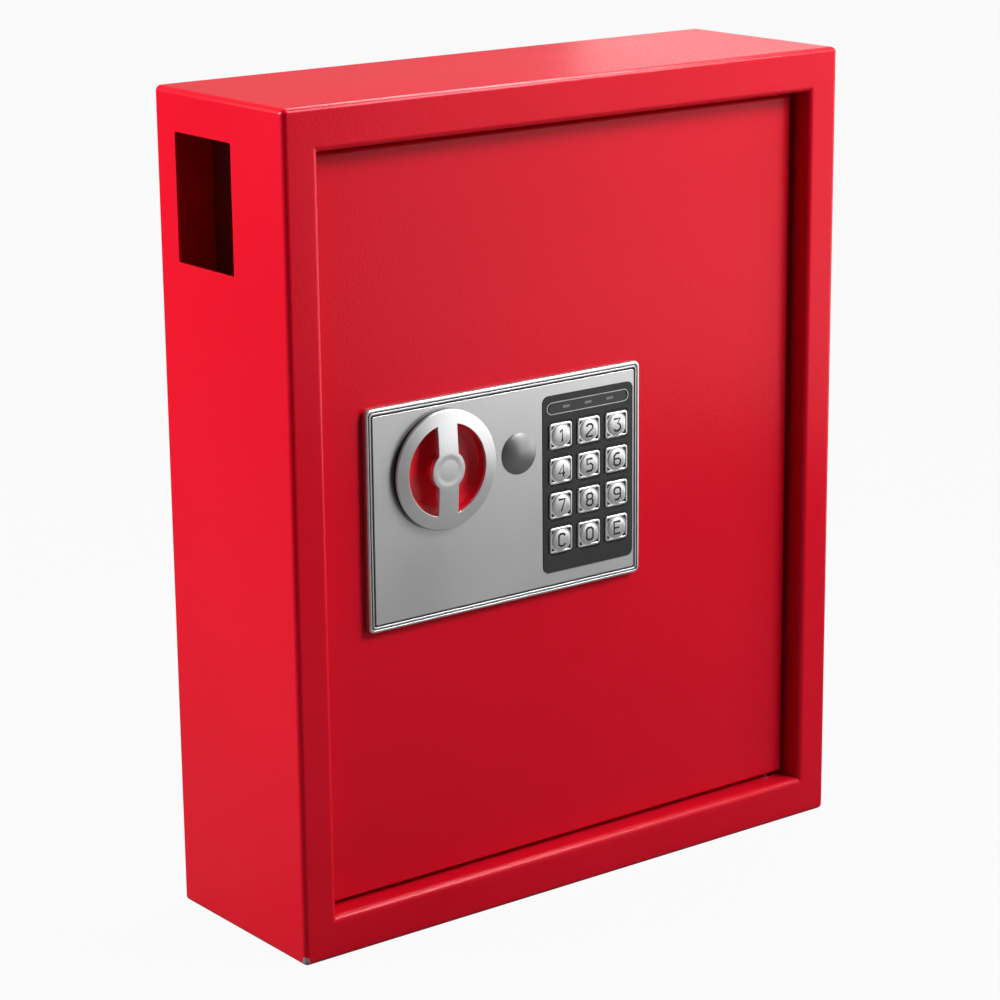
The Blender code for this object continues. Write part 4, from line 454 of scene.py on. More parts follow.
def loft(name, rings, centre, cap_ends):
    """A closed mesh through rings of equal length; the ends are capped, or joined to each other."""
    bm = bmesh.new()
    rows = [[bm.verts.new((x + centre[0], y, z + centre[1])) for x, y, z in ring] for ring in rings]
    pairs = list(zip(rows, rows[1:]))
    if not cap_ends:
        pairs.append((rows[-1], rows[0]))
    for first, second in pairs:
        count = len(first)
        for i in range(count):
            bm.faces.new((first[i], first[(i + 1) % count], second[(i + 1) % count], second[i]))
    if cap_ends:
        bm.faces.new(rows[0])
        bm.faces.new(rows[-1][::-1])
    bmesh.ops.remove_doubles(bm, verts=bm.verts, dist=0.000002)
    bmesh.ops.recalc_face_normals(bm, faces=bm.faces)
    mesh = bpy.data.meshes.new(name)
    bm.to_mesh(mesh)
    bm.free()
    return mesh


def piece_of(name, mesh, material=None):
    """An object in the scene from a mesh, smooth except at real corners."""
    made = add_object(name, mesh)
    if material is not None:
        mesh.materials.clear()
        mesh.materials.append(material)
    soften(made)
    return made


def soften(made, angle=32):
    """Smooth shading that keeps edges sharper than the angle."""
    made.data.shade_smooth()
    made.data.set_sharp_from_angle(angle=math.radians(angle))


def mesh_after_modifiers(made):
    """A new mesh of what an object looks like with its modifiers."""
    bpy.context.view_layer.update()
    return bpy.data.meshes.new_from_object(made.evaluated_get(bpy.context.evaluated_depsgraph_get()))


def apply_modifiers(made):
    """Give an object the mesh that its modifiers make of it."""
    mesh = mesh_after_modifiers(made)
    made.modifiers.clear()
    made.data = mesh


def settle(made):
    """Apply an object's modifiers and smooth it anew."""
    apply_modifiers(made)
    soften(made)


def carve(made, cutters, operation="DIFFERENCE"):
    """Take other meshes out of a piece, or add them to it, and throw the tools away."""
    for tool in cutters:
        change = made.modifiers.new("carve", "BOOLEAN")
        change.operation = operation
        change.solver = "EXACT"
        change.object = tool
    settle(made)
    for tool in cutters:
        bpy.data.objects.remove(tool)


def ease_edges(made, width, segments=2, angle=35):
    """Break the sharp edges, as every sheet and moulding has them."""
    edge = made.modifiers.new("edges", "BEVEL")
    edge.width = width
    edge.segments = segments
    edge.limit_method = "ANGLE"
    edge.angle_limit = math.radians(angle)
    settle(made)


def even_normals(made):
    """Let the large flat faces decide the shading beside a fold."""
    weigh = made.modifiers.new("weigh", "WEIGHTED_NORMAL")
    weigh.keep_sharp = True
    apply_modifiers(made)


def dress(made, body, slot, *stands_for):
    """Let a piece ride on a body and stand for solids; the slot argument is not used."""
    even_normals(made)
    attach(made, body)
    if stands_for:
        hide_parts(*stands_for)


def seen_from_front(low, high):
    """The centre of a box across X and Z, and half its width and height."""
    centre = ((low[0] + high[0]) / 2, (low[2] + high[2]) / 2)
    return centre, (high[0] - low[0]) / 2, (high[2] - low[2]) / 2


def prism(name, low, high, radius, steps=5):
    """A block with rounded edges along Y, for cutting."""
    centre, half_x, half_z = seen_from_front(low, high)
    rings = [ring_of(half_x, half_z, radius, y, steps) for y in (low[1], high[1])]
    return piece_of(name, loft(name, rings, centre, True))


print("sheet metal helpers ready")

# %% [markdown]
# ## The cabinet body
#
# The body is one folded sheet: side walls, a picture frame in front, and a return that is rolled back round
# the opening. The rings start at the back edge, go forward outside, over the front fold, across the frame,
# round the opening's fold and back along the return, and then come home on the inside, one sheet thickness
# away. The slot for dropping keys is carved into the left wall afterwards.

# %% Fold the body
low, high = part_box("body_shell")
centre, half_x, half_z = seen_from_front(low, high)
sheet = 1.5 * MM
outer_fold, opening_fold = 2.5 * MM, 3.0 * MM
opening_corner, inner_corner, wall_corner = 0.5 * MM, 1.2 * MM, 1.0 * MM
stile, rail = 17 * MM, 19 * MM
return_depth = 20 * MM
front_y, back_y = low.y, high.y
rings = [ring_of(half_x, half_z, outer_fold, back_y)]
for inward, forward in quarter(outer_fold, 7):
    rings.append(ring_of(half_x - inward, half_z - inward, outer_fold - inward, front_y + outer_fold - forward))
for inward, forward in quarter(opening_fold, 7, grow=False):
    rings.append(ring_of(half_x - stile + inward, half_z - rail + inward, opening_corner,
                         front_y + opening_fold - forward))
rings.append(ring_of(half_x - stile, half_z - rail, opening_corner, front_y + return_depth))
for grown_by, depth in ((sheet, return_depth), (sheet, opening_fold), (opening_fold, sheet)):
    rings.append(ring_of(half_x - stile + grown_by, half_z - rail + grown_by, inner_corner, front_y + depth))
for inset, y in ((outer_fold, front_y + sheet), (sheet, front_y + outer_fold), (sheet, back_y)):
    rings.append(ring_of(half_x - inset, half_z - inset, wall_corner, y))
body = piece_of("folded_body", loft("folded_body", rings, centre, False), red_coat)
slot_width, slot_height, slot_corner = 42 * MM, 55 * MM, 0.9 * MM
slot_y = front_y + 39 * MM + slot_width / 2
slot_z = high.z - 18 * MM - slot_height / 2
flat = ring_of(slot_width / 2, slot_height / 2, slot_corner, 0)
slot_rings = [[(x, y + slot_y, z) for y, _, z in flat] for x in (low.x - 4 * MM, low.x + 6 * MM)]
carve(body, [piece_of("slot_tool", loft("slot_tool", slot_rings, (0, slot_z), True))])
ease_edges(body, 0.35 * MM)
dress(body, "cabinet", "red_powder_coat", "body_shell")
print("body faces:", len(body.data.polygons))

# %% [markdown]
# ## The door
#
# The door is a shallow pan whose skirt turns back along all four sides. It is lofted the same way, from the
# middle of its face outwards, over the fold, back along the skirt and home on the inside. Three openings stay
# behind the lock panel: one for the knob's cup, one for the emergency lock and one for the keypad. The skirt has
# round holes for the two bolts and the two hinge pins, and two welded studs inside hold the cover.

# %% Press the door
low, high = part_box("door_panel")
centre, half_x, half_z = seen_from_front(low, high)
door_face, skirt_end = low.y, high.y
door_fold = 1.8 * MM
corner, clearance = 0.8 * MM, 0.3 * MM
rings = []
for inward, forward in quarter(door_fold, 6, grow=False):
    rings.append(ring_of(half_x - inward, half_z - inward, corner, door_face + door_fold - forward))
for inset, y in ((0, skirt_end), (sheet, skirt_end), (sheet, door_face + door_fold),
                 (sheet + clearance, door_face + sheet)):
    rings.append(ring_of(half_x - inset, half_z - inset, corner, y))
door = piece_of("pressed_door", loft("pressed_door", rings, centre, True), red_coat)


# %% Drill the door
def round_tool(name, x, z, radius, low_y, high_y, steps=48):
    """A plain round cutter along Y."""
    rows = [[(radius * math.cos(2 * math.pi * i / steps), y, radius * math.sin(2 * math.pi * i / steps))
             for i in range(steps)] for y in (low_y, high_y)]
    return piece_of(name, loft(name, rows, (x, z), True))


def turned_tool(name, place, radius, axis, steps=48):
    """A round cutter that stands on a place and is turned a quarter about an axis."""
    tool = round_tool(name, 0, 0, radius, -reach, reach, steps)
    tool.data.transform(Matrix.Translation(place) @ Matrix.Rotation(math.radians(90), 4, axis))
    return tool


reach = 6 * MM
cup_hole, lock_hole, pin_radius, stud_radius = 22.95 * MM, 8.4 * MM, 2.25 * MM, 1.3 * MM
board_low, board_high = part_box("circuit_board")
margin = 1.5 * MM
keypad_low = (board_low.x + margin, door_face - reach, board_low.z + margin)
keypad_high = (board_high.x - margin, door_face + reach, board_high.z - margin)
(knob_x, knob_z), _, _ = seen_from_front(*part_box("knob_spindle"))
(keyhole_x, keyhole_z), _, _ = seen_from_front(*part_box("keyhole_cap"))
tools = [prism("keypad_tool", keypad_low, keypad_high, 0.5 * MM),
         round_tool("cup_tool", knob_x, knob_z, cup_hole, door_face - reach, door_face + reach, 72),
         round_tool("lock_tool", keyhole_x, keyhole_z, lock_hole, door_face - reach, door_face + reach)]
for name in ("bolt_upper", "bolt_lower"):
    rod_low, rod_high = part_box(name)
    (_, rod_z), _, rod_radius = seen_from_front(rod_low, rod_high)
    place = (low.x, (rod_low.y + rod_high.y) / 2, rod_z)
    tools.append(turned_tool("bolt_tool", place, rod_radius + clearance, "Z"))
for name, level in (("hinge_pin_top", high.z), ("hinge_pin_base", low.z)):
    rod_low, rod_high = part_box(name)
    place = ((rod_low.x + rod_high.x) / 2, (rod_low.y + rod_high.y) / 2, level)
    tools.append(turned_tool("pin_tool", place, pin_radius + clearance, "X", 32))
carve(door, tools)
studs = []
for name in ("cover_nut_top", "cover_nut_base"):
    (stud_x, stud_z), _, _ = seen_from_front(*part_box(name))
    studs.append(round_tool("stud_tool", stud_x, stud_z, stud_radius, door_face + 1 * MM,
                            door_face + sheet + 5 * MM, 24))
carve(door, studs, "UNION")
dress(door, "door", "red_powder_coat", "door_panel")
print("door faces:", len(door.data.polygons))

# %% [markdown]
# ## The lock panel
#
# A silver moulding lies on the door with a rounded rim and two thin, deep grooves just inside it. The grooves
# are part of the loft: down one wall, across the floor and up the other. Black lines of painted shade fill them
# nearly to the brim, for the shade that falls in the grooves. The knob's hole, the keyhole, the keypad's opening and
# the seat of the black fascia are carved out.

# %% Mould the lock panel
low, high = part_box("lock_panel")
panel_face, panel_rear = low.y, high.y
centre, half_x, half_z = seen_from_front(low, high)
corner = 2.5 * MM
edge_round = 0.8 * MM
grooves = ((2.5 * MM, 3.35 * MM), (1.25 * MM, 1.8 * MM))
groove_depth, brow = 1.3 * MM, 0.12 * MM
steps_in = []
for near, far in grooves:
    steps_in += [(far + brow, 0), (far, brow), (far, groove_depth), (near, groove_depth), (near, brow),
                 (near - brow, 0)]
rings = [ring_of(half_x - inward, half_z - inward, corner - inward / 2, panel_face + depth)
         for inward, depth in steps_in]
for inward, forward in quarter(edge_round, 5, grow=False):
    rings.append(ring_of(half_x - inward, half_z - inward, corner, panel_face + edge_round - forward))
rings.append(ring_of(half_x, half_z, corner, panel_rear))
panel = piece_of("lock_moulding", loft("lock_moulding", rings, centre, True), panel_silver)
fascia_low, fascia_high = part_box("keypad_fascia")
gap, seat_corner = 0.3 * MM, 3.3 * MM
seat = prism("fascia_seat", (fascia_low.x - gap, panel_face - 4 * MM, fascia_low.z - gap),
             (fascia_high.x + gap, fascia_high.y + gap, fascia_high.z + gap), seat_corner)
knob_hole, plug_hole = 23 * MM, 7.85 * MM
tool_low, tool_high = panel_face - 8 * MM, panel_face + 8 * MM
carve(panel, [seat, prism("keypad_tool", keypad_low, keypad_high, 0.5 * MM),
              round_tool("knob_tool", knob_x, knob_z, knob_hole, tool_low, tool_high, 72),
              round_tool("plug_tool", keyhole_x, keyhole_z, plug_hole, tool_low, tool_high)])
dress(panel, "door", "silver_panel", "lock_panel")
print("lock panel faces:", len(panel.data.polygons))

# %% Fill the grooves with painted shade
slack, line_top, line_base = 0.03 * MM, 0.2 * MM, 1.25 * MM
# Each black line is painted shade: it darkens the groove where the shade falls, whatever the lamps do.
for i, (near, far) in enumerate(grooves):
    section = ((near + slack, line_top), (near + slack, line_base), (far - slack, line_base), (far - slack, line_top))
    rings = [ring_of(half_x - inward, half_z - inward, corner - inward / 2, panel_face + depth)
             for inward, depth in section]
    line = piece_of("groove_line_%d" % (i + 1), loft("groove_painted_shade", rings, centre, False), legend_ink_and_painted_shade)
    dress(line, "door", "black_plastic")
print("lines in the grooves:", len(grooves))

# %% [markdown]
# ## The knob
#
# The knob is one silver casting: a shallow dome with two openings that leave a ring, an
# upright bar and a round hub between them. Under the dome's edge stands a black skirt, which is painted shade
# for the shaded side and foot of the knob. The dome is turned from a profile. A Screw modifier can do that, but
# walking the profile round in code leaves no seam. The openings are cut by two tools whose rims flare along
# the dome, so their edges come out rounded. A cut leaves long thin faces, which shade in streaks, so the
# forward faces get the normals of the true dome afterwards.

# %% A helper that turns a profile
def turned_piece(name, profile, centre, material, steps=96, closed=False):
    """Walk a profile of (radius, forward) points round an axis along Y; forward is towards -Y."""
    bm = bmesh.new()
    x, y, z = centre
    around = [(math.cos(2 * math.pi * i / steps), math.sin(2 * math.pi * i / steps)) for i in range(steps)]
    rows = []
    for radius, forward in profile:
        on_axis = radius < 0.001 * MM
        rows.append([bm.verts.new((x + radius * across, y - forward, z + radius * upward))
                     for across, upward in (((0, 0),) if on_axis else around)])
    pairs = list(zip(rows, rows[1:]))
    if closed:
        pairs.append((rows[-1], rows[0]))
    for first, second in pairs:
        for i in range(steps):
            j = (i + 1) % steps
            if len(first) == 1 and len(second) == 1:
                continue
            if len(first) == 1:
                bm.faces.new((first[0], second[j], second[i]))
            elif len(second) == 1:
                bm.faces.new((first[i], first[j], second[0]))
            else:
                bm.faces.new((first[i], first[j], second[j], second[i]))
    bmesh.ops.recalc_face_normals(bm, faces=bm.faces)
    mesh = bpy.data.meshes.new(name)
    bm.to_mesh(mesh)
    bm.free()
    return piece_of(name, mesh, material)


def arc_points(centre_r, centre_f, radius, start, end, steps):
    """Points of an arc in a turned profile."""
    points = []
    for i in range(steps + 1):
        angle = math.radians(start + (end - start) * i / steps)
        points.append((centre_r + radius * math.cos(angle), centre_f + radius * math.sin(angle)))
    return points


print("lathe ready")

# %% Turn the knob's dome
ring_low, ring_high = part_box("knob_ring")
outer = (ring_high.x - ring_low.x) / 2
proud = panel_face - ring_low.y
opening, bar_half, hub_radius, dimple = 20.2 * MM, 5.25 * MM, 8.5 * MM, 7.4 * MM
thick, edge, dimple_depth, dome_radius = 2.5 * MM, 0.6 * MM, 0.13 * MM, 200 * MM
hub_place = (knob_x, panel_face, knob_z)


def dome(radius):
    """How far the knob's face stands forward at a distance from its middle; the hub is slightly dished."""
    share = min(max((radius / dimple - 0.6) / 0.4, 0), 1)
    dish = dimple_depth * (1 - share * share * (3 - 2 * share))
    return proud - radius * radius / (2 * dome_radius) - dish


radii = [0, 0.3 * dimple] + [dimple * (0.6 + 0.4 * i / 6) for i in range(7)]
radii += [dimple + (outer - edge - dimple) * i / 12 for i in range(1, 13)]
profile = [(radius, dome(radius)) for radius in radii]
profile += arc_points(outer - edge, dome(outer - edge) - edge, edge, 78, 0, 6)
profile += [(outer, proud - thick), (0, proud - thick)]
knob = turned_piece("knob_grip_ring", profile, hub_place, knob_silver, 120)

# %% Cut the knob's two openings
def grown(points, amount):
    """A closed outline of (x, z) points moved outwards along its own normals."""
    moved = []
    for i in range(len(points)):
        (xa, za), (x, z), (xb, zb) = points[i - 1], points[i], points[(i + 1) % len(points)]
        before = Vector((z - za, xa - x)).normalized()
        after = Vector((zb - z, x - xb)).normalized()
        mean = (before + after).normalized()
        reach = amount / max(mean.dot(before), 0.4)
        moved.append((x + mean.x * reach, z + mean.y * reach))
    return moved


rim_turn, hub_turn = math.acos(bar_half / opening), math.acos(bar_half / hub_radius)
outline = [(opening * math.cos(rim_turn * (i / 20 - 1)), opening * math.sin(rim_turn * (i / 20 - 1)))
           for i in range(41)]
outline += [(hub_radius * math.cos(hub_turn * (1 - i / 8)), hub_radius * math.sin(hub_turn * (1 - i / 8)))
            for i in range(17)]
flare = ((0.0, 0.40 * MM), (0.03 * MM, 0.20 * MM), (0.10 * MM, 0.08 * MM), (0.24 * MM, 0.0), (0.60 * MM, -0.4 * MM))
openings = []
for way in (1, -1):
    shape = outline if way == 1 else [(-x, z) for x, z in outline[::-1]]
    rows = [[(x, panel_face - 1 * MM, z) for x, z in shape]]
    for amount, below in flare:
        rows.append([(x, panel_face - dome(math.hypot(x, z)) + below, z) for x, z in grown(shape, amount)])
    rows.append([(x, panel_face - proud - 1 * MM, z) for x, z in grown(shape, flare[-1][0])])
    openings.append(piece_of("opening_tool", loft("opening_tool", rows, (knob_x, knob_z), True)))
carve(knob, openings)
weld = knob.modifiers.new("weld", "WELD")
weld.merge_threshold = 0.02 * MM
settle(knob)
soften(knob, 46)
dress(knob, "knob", "silver_panel", "knob_ring")
tiny = 0.01 * MM
mesh = knob.data
normals = [Vector(corner.vector) for corner in mesh.corner_normals]
for face in mesh.polygons:
    if face.normal.y > -0.98:
        continue
    for index in face.loop_indices:
        point = mesh.vertices[mesh.loops[index].vertex_index].co
        out = Vector((point.x - knob_x, 0, point.z - knob_z))
        fall = (dome(max(out.length - tiny, 0)) - dome(out.length + tiny)) / (2 * tiny)
        normals[index] = (out.normalized() * fall + Vector((0, -1, 0))).normalized()
mesh.normals_split_custom_set(normals)
print("knob faces:", len(knob.data.polygons))

# %% Turn the knob's skirt
# The skirt is black as painted shade: it darkens the knob's side and the shade round its foot.
skirt_outside, skirt_inside = outer - 0.3 * MM, outer - 2.2 * MM
skirt = [(skirt_outside, gap), (skirt_outside, proud - thick), (skirt_inside, proud - thick), (skirt_inside, gap)]
knob_skirt_painted_shade = turned_piece("knob_skirt_painted_shade", skirt, hub_place, legend_ink_and_painted_shade, 120, closed=True)
dress(knob_skirt_painted_shade, "knob", "black_plastic")
print("skirt stands %.2f mm tall" % ((proud - thick - gap) / MM))

# %% [markdown]
# The cup under the bar is where the fingers go. Its floor is flat, its wall rises in one curve to the ring,
# and a boss stands in the middle round the shaft.

# %% Turn the red cup
mouth = proud - thick - gap
deep = mouth - 5.1 * MM
wall, floor_radius, bore, boss = 1 * MM, 16.5 * MM, 4.35 * MM, 6.5 * MM
shoulder = (floor_radius + opening) / 2 + wall
inside = [(opening, mouth), (opening - 0.15 * MM, mouth - 1.4 * MM), (shoulder + 0.6 * MM, deep + 2.0 * MM),
          (shoulder - 0.5 * MM, deep + 0.9 * MM), (floor_radius + 0.8 * MM, deep + 0.25 * MM), (floor_radius, deep)]
dish = [(opening + 2.6 * MM, mouth), (opening + 2.6 * MM, mouth - wall), (opening + wall, mouth - wall),
        (shoulder + wall, deep + 1.2 * MM), (floor_radius, deep - wall), (bore, deep - wall), (bore, mouth),
        (boss - 0.3 * MM, mouth), (boss, mouth - 0.3 * MM), (boss, deep)]
cup = turned_piece("finger_cup", dish + inside[::-1], hub_place, cup_red, 120, closed=True)
dress(cup, "knob", "red_plastic", "knob_cup")
print("cup faces:", len(cup.data.polygons))

# %% [markdown]
# ## The keyhole cap
#
# A small grey dome plugs over the emergency keyhole. Its crown is higher than a coin's, so it shades from
# light to dark across a few millimetres, and a fine turned profile is enough to show that.

# %% Turn the cap
cap_low, cap_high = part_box("keyhole_cap")
cap_radius = (cap_high.x - cap_low.x) / 2 - 0.8 * MM
cap_top = panel_face - cap_low.y
cap_edge, plug_radius = 0.35 * MM, 7.5 * MM
shares = (0, 0.15, 0.3, 0.45, 0.6, 0.72, 0.82, 0.9, 0.96, 1)
profile = [(cap_radius * share, cap_edge + (cap_top - cap_edge) * (1 - share * share)) for share in shares]
profile += [(cap_radius, gap), (plug_radius, gap), (plug_radius, -2 * MM), (0, -2 * MM)]
cap = turned_piece("keyhole_dome", profile, (keyhole_x, panel_face, keyhole_z), cap_grey, 64)
dress(cap, "cap", "grey_cap", "keyhole_cap")
print("cap rises %.1f mm" % (cap_top / MM))

# %% [markdown]
# ## The keypad
#
# Twelve silver keys stand in a black fascia. Under the top edge lies a smoked strip with a fine light outline
# and three small marks over the lamps. The outline could be painted by a shader, but a thin closed curve with
# a round section keeps a crisp edge at any distance.

# %% Draw strokes on a face
FLATNESS = 0.12


def stroke_mesh(name, lines, thickness, closed=False):
    """Flat strokes in the XZ plane as one mesh; each line is a list of (x, z) points."""
    curve = bpy.data.curves.new(name, "CURVE")
    curve.dimensions = "3D"
    curve.bevel_depth = thickness / 2
    curve.bevel_resolution = 2
    curve.use_fill_caps = True
    for line in lines:
        spline = curve.splines.new("POLY")
        spline.points.add(len(line) - 1)
        spline.use_cyclic_u = closed
        for point, (x, z) in zip(spline.points, line):
            point.co = (x, 0, z, 1)
    holder = add_object(name, curve)
    mesh = mesh_after_modifiers(holder)
    bpy.data.objects.remove(holder)
    for vertex in mesh.vertices:
        vertex.co.y *= FLATNESS
    return mesh


def stadium(half_x, half_z, steps=10):
    """Points round a bar with round ends."""
    points = []
    for side, start in ((1, -90), (-1, 90)):
        for i in range(steps + 1):
            angle = math.radians(start + 180 * i / steps)
            points.append((side * (half_x - half_z) + half_z * math.cos(angle), half_z * math.sin(angle)))
    return points


fascia_x = (fascia_low.x + fascia_high.x) / 2
fascia_face = fascia_low.y
window_low, window_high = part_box("indicator_window")
window_z = (window_low.z + window_high.z) / 2
ink_lift, outline_thick, mark_thick = 0.01 * MM, 0.42 * MM, 1.15 * MM
lamp_pitch, mark_half = 12.2 * MM, 1.9 * MM
marks = [[(way * lamp_pitch - mark_half, 0), (way * lamp_pitch + mark_half, 0)] for way in (-1, 0, 1)]
border = [stadium(22.8 * MM, 2.6 * MM)]
outline = piece_of("window_outline", stroke_mesh("window_outline", border, outline_thick, True), outline_ink)
outline.location = (fascia_x, fascia_face - ink_lift, window_z)
dress(outline, "door", "black_plastic")
lamp_marks = piece_of("lamp_marks", stroke_mesh("lamp_marks", marks, mark_thick), lamp_ink)
lamp_marks.location = (fascia_x, window_low.y - ink_lift, window_z)
dress(lamp_marks, "door", "black_plastic")
print("outline and marks drawn")

# %% [markdown]
# Every key is the same moulding: a flange that stays behind the fascia, a cap with a raised rim, and a round
# domed pad. One mesh serves all twelve, placed twelve times. The black collar that fills its opening, the
# black triangles in its sunk corners, which are painted shade, and the character on the pad are separate, so that
# each key can carry its own.

# %% Mould a key
key_low, key_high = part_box("key_5")
key_proud, pad_rise = 1.15 * MM, 0.5 * MM
key_top = key_high.y - fascia_face + key_proud
cap_face = -key_top + pad_rise
key_half_x, key_half_z, key_corner = 6.3 * MM, 5.75 * MM, 1.3 * MM
flange_half, flange_corner, flange_depth = (key_high.x - key_low.x) / 2, 2.2 * MM, -0.8 * MM
rings = [ring_of(flange_half, flange_half, flange_corner, y) for y in (0, flange_depth)]
rings.append(ring_of(key_half_x, key_half_z, key_corner, flange_depth))
key_round = 0.45 * MM
for inward, forward in quarter(key_round, 4):
    rings.append(ring_of(key_half_x - inward, key_half_z - inward, key_corner, cap_face + key_round - forward))
for inset, radius, sunk in ((0.85 * MM, 0.9 * MM, 0), (1.1 * MM, 0.8 * MM, 0.3 * MM)):
    rings.append(ring_of(key_half_x - inset, key_half_z - inset, radius, cap_face + sunk))
key_mesh = loft("key_cap", rings, (0, 0), True)
pad_radius, pad_fall, pad_height = 4.75 * MM, 0.42 * MM, 0.85 * MM
shares = (0, 0.25, 0.5, 0.7, 0.85, 0.95, 1)
pad = [(pad_radius * share, key_top - pad_fall * share ** 3) for share in shares]
pad += [(pad_radius + 0.05 * MM, key_top - pad_height), (0, key_top - pad_height)]
pad_piece = turned_piece("pad", pad, (0, 0, 0), None, 48)
bm = bmesh.new()
bm.from_mesh(key_mesh)
bm.from_mesh(pad_piece.data)
bm.to_mesh(key_mesh)
bm.free()
bpy.data.objects.remove(pad_piece)
print("key stands %.2f of the frame's %.2f mm" % (key_top / MM, (key_high.y - key_low.y) / MM))

# %% [markdown]
# The characters are plain strokes on a grid two units wide and four high, the way an engraver's template
# draws them. Strokes made from poly lines stay even in width, which a scaled font does not.

# %% Letter the keys
STROKES = {
    "0": [[(0.5, 0), (0, 0.6), (0, 3.4), (0.5, 4), (1.5, 4), (2, 3.4), (2, 0.6), (1.5, 0), (0.5, 0)]],
    "1": [[(0.5, 3.2), (1.2, 4), (1.2, 0)]],
    "2": [[(0, 3.3), (0.5, 4), (1.5, 4), (2, 3.4), (2, 2.6), (0, 0.6), (0, 0), (2, 0)]],
    "3": [[(0, 4), (2, 4), (1.0, 2.4), (1.6, 2.2), (2, 1.6), (2, 0.6), (1.4, 0), (0.5, 0), (0, 0.6)]],
    "4": [[(1.5, 0), (1.5, 4), (0, 1.2), (2, 1.2)]],
    "5": [[(1.9, 4), (0.2, 4), (0.1, 2.3), (1.4, 2.4), (2, 1.7), (2, 0.6), (1.4, 0), (0, 0)]],
    "6": [[(1.8, 4), (0.7, 4), (0, 3.2), (0, 0.6), (0.5, 0), (1.5, 0), (2, 0.6), (2, 1.6), (1.5, 2.2), (0, 2.2)]],
    "7": [[(0, 4), (2, 4), (0.8, 0)]],
    "8": [[(0.5, 2.1), (0.1, 2.6), (0.1, 3.5), (0.5, 4), (1.5, 4), (1.9, 3.5), (1.9, 2.6), (1.5, 2.1), (0.5, 2.1),
           (0, 1.5), (0, 0.6), (0.5, 0), (1.5, 0), (2, 0.6), (2, 1.5), (1.5, 2.1)]],
    "9": [[(0.2, 0), (1.3, 0), (2, 0.8), (2, 3.4), (1.5, 4), (0.5, 4), (0, 3.4), (0, 2.4), (0.5, 1.8), (2, 1.8)]],
    "c": [[(2, 3.3), (1.5, 4), (0.5, 4), (0, 3.4), (0, 0.6), (0.5, 0), (1.5, 0), (2, 0.7)]],
    "e": [[(2, 4), (0, 4), (0, 0), (2, 0)], [(0, 2), (1.7, 2)]],
}
unit_x, unit_z, stroke_thick = 1.75 * MM, 1.36 * MM, 1.0 * MM
collar_face, collar_base = fascia_face - key_high.y + 0.15 * MM, -0.85 * MM
wide, narrow = (6.5 * MM, 6.5 * MM, 1.6 * MM), (key_half_x - 0.1 * MM, key_half_z - 0.1 * MM, 1.2 * MM)
rings = [ring_of(*size, y) for size, y in ((wide, collar_base), (wide, collar_face), (narrow, collar_face),
                                           (narrow, collar_base))]
collar = loft("collar", rings, (0, 0), False)
pocket_shade, pocket_near, pocket_far = ((5.1, 4.6), (3.4, 4.6), (5.1, 2.9)), 0.16 * MM, 0.31 * MM
for label, lines in STROKES.items():
    low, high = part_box("key_" + label)
    (x, z), _, _ = seen_from_front(low, high)
    key = piece_of("key_cap_" + label, key_mesh, key_silver)
    key.location = (x, high.y, z)
    dress(key, "keypad_" + label, "key_silver", "key_" + label)
    placed = [[((px - 1) * unit_x, (pz - 2) * unit_z) for px, pz in line] for line in lines]
    bm = bmesh.new()
    bm.from_mesh(stroke_mesh("strokes", placed, stroke_thick))
    bmesh.ops.translate(bm, vec=(0, -key_top + 0.03 * MM, 0), verts=bm.verts)
    bm.from_mesh(collar)
    # Black triangles in the four sunk corners round the pad: painted shade, not a part of the key.
    for side_x in (-1, 1):
        for side_z in (-1, 1):
            front, rear = [[bm.verts.new((side_x * px * MM, cap_face + depth, side_z * pz * MM)) for px, pz in pocket_shade]
                           for depth in (pocket_near, pocket_far)]
            bm.faces.new(front)
            bm.faces.new(rear[::-1])
            for i in range(3):
                bm.faces.new((front[i], rear[i], rear[(i + 1) % 3], front[(i + 1) % 3]))
    bmesh.ops.recalc_face_normals(bm, faces=bm.faces)
    print_and_shade_mesh = bpy.data.meshes.new("key_print_and_shade_" + label)
    bm.to_mesh(print_and_shade_mesh)
    bm.free()
    key_print_and_shade = piece_of("key_print_and_shade_" + label, print_and_shade_mesh, legend_ink_and_painted_shade)
    key_print_and_shade.location = (x, high.y, z)
    dress(key_print_and_shade, "keypad_" + label, "black_plastic")
print("keys lettered:", len(STROKES))

# %% [markdown]
# ## The rest of the cabinet
#
# What remains keeps the frame's own shapes, and only gets its finish: plated rails and hook bars inside, the
# turned pins and bolts, the black inner cover with its battery lid, and the moulded parts of the lock.

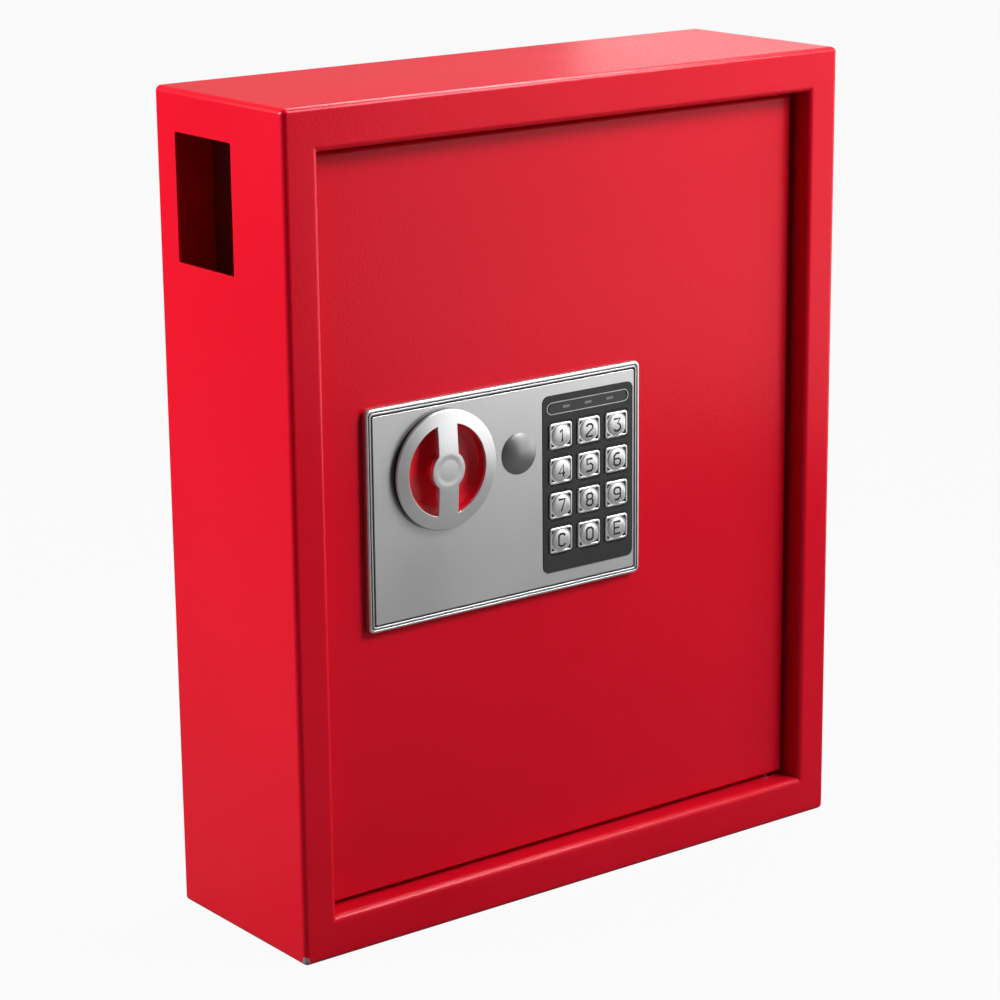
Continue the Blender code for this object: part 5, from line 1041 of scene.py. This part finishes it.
# %% Finish the remaining pieces
finishes = {
    red_coat: ("back_panel",),
    red_coat_inside_painted_shade: ("drop_chute",),
    black_plastic: ("keypad_fascia", "battery_tray", "battery_door"),
    window_smoke: ("indicator_window",),
    black_coat: ("lock_cover",),
    zinc: ("key_rail_left", "key_rail_right", "mechanism_plate", "cover_nut_top", "cover_nut_base",
           "solenoid_body", "bolt_plate") + tuple("hook_bar_%d" % i for i in range(1, 6)),
    steel: ("hinge_pin_top", "hinge_pin_base", "guide_stud_upper", "guide_stud_lower", "knob_spindle", "bolt_cam",
            "bolt_upper", "bolt_lower", "solenoid_plunger", "plunger_spring"),
    brass: ("emergency_lock_body", "emergency_lock_core"),
    white_nylon: ("hinge_bush_top", "hinge_bush_base"),
    grey_rubber: ("key_mat", "solenoid_lead"),
    red_plastic: ("reset_button", "battery_lead"),
    board_green: ("circuit_board",),
    cell_wrap: tuple("battery_cell_%d" % i for i in range(1, 5)),
}
for material, names in finishes.items():
    for name in names:
        for socket in nodes[name].material_slots:
            socket.material = material
print("solids with a finish:", sum(len(names) for names in finishes.values()))

# %% [markdown]
# ## One chip in the paint
#
# The lower front corner on the left has lost a crumb of paint, as the corner of a steel box does when it is set
# down hard. A mask by distance from the corner, roughened by noise, mixes the bare primer into the body's own
# copy of the red finish.

# %% Chip the corner
chipped = red_coat.copy()
chipped.name = "red_powder_coat_chipped"
tree = chipped.node_tree
shader = tree.nodes["Principled BSDF"]
place = tree.nodes.new("ShaderNodeTexCoord")
distance = tree.nodes.new("ShaderNodeVectorMath")
distance.operation = "DISTANCE"
distance.inputs[1].default_value = (-0.1495, -0.0470, 0.0022)
tree.links.new(place.outputs["Object"], distance.inputs[0])
crumbs = tree.nodes.new("ShaderNodeTexNoise")
crumbs.inputs["Scale"].default_value = 900
crumbs.inputs["Detail"].default_value = 2
tree.links.new(place.outputs["Object"], crumbs.inputs["Vector"])
raggedness, chip_edge, coat_edge = 2.8 * MM, 3.0 * MM, 3.4 * MM
ragged = shader_math(tree, "ADD", shader_math(tree, "MULTIPLY", crumbs.outputs["Fac"], raggedness),
                     distance.outputs["Value"])
mask = remap(tree, ragged, chip_edge, coat_edge, 1.0, 0.0)
colour_link = shader.inputs["Base Color"].links[0].from_socket
bare = tree.nodes.new("ShaderNodeMix")
bare.data_type = "RGBA"
bare.inputs["B"].default_value = (0.30, 0.27, 0.27, 1)
tree.links.new(mask, bare.inputs["Factor"])
tree.links.new(colour_link, bare.inputs["A"])
tree.links.new(bare.outputs["Result"], shader.inputs["Base Color"])
body.data.materials[0] = chipped
print("corner chipped")
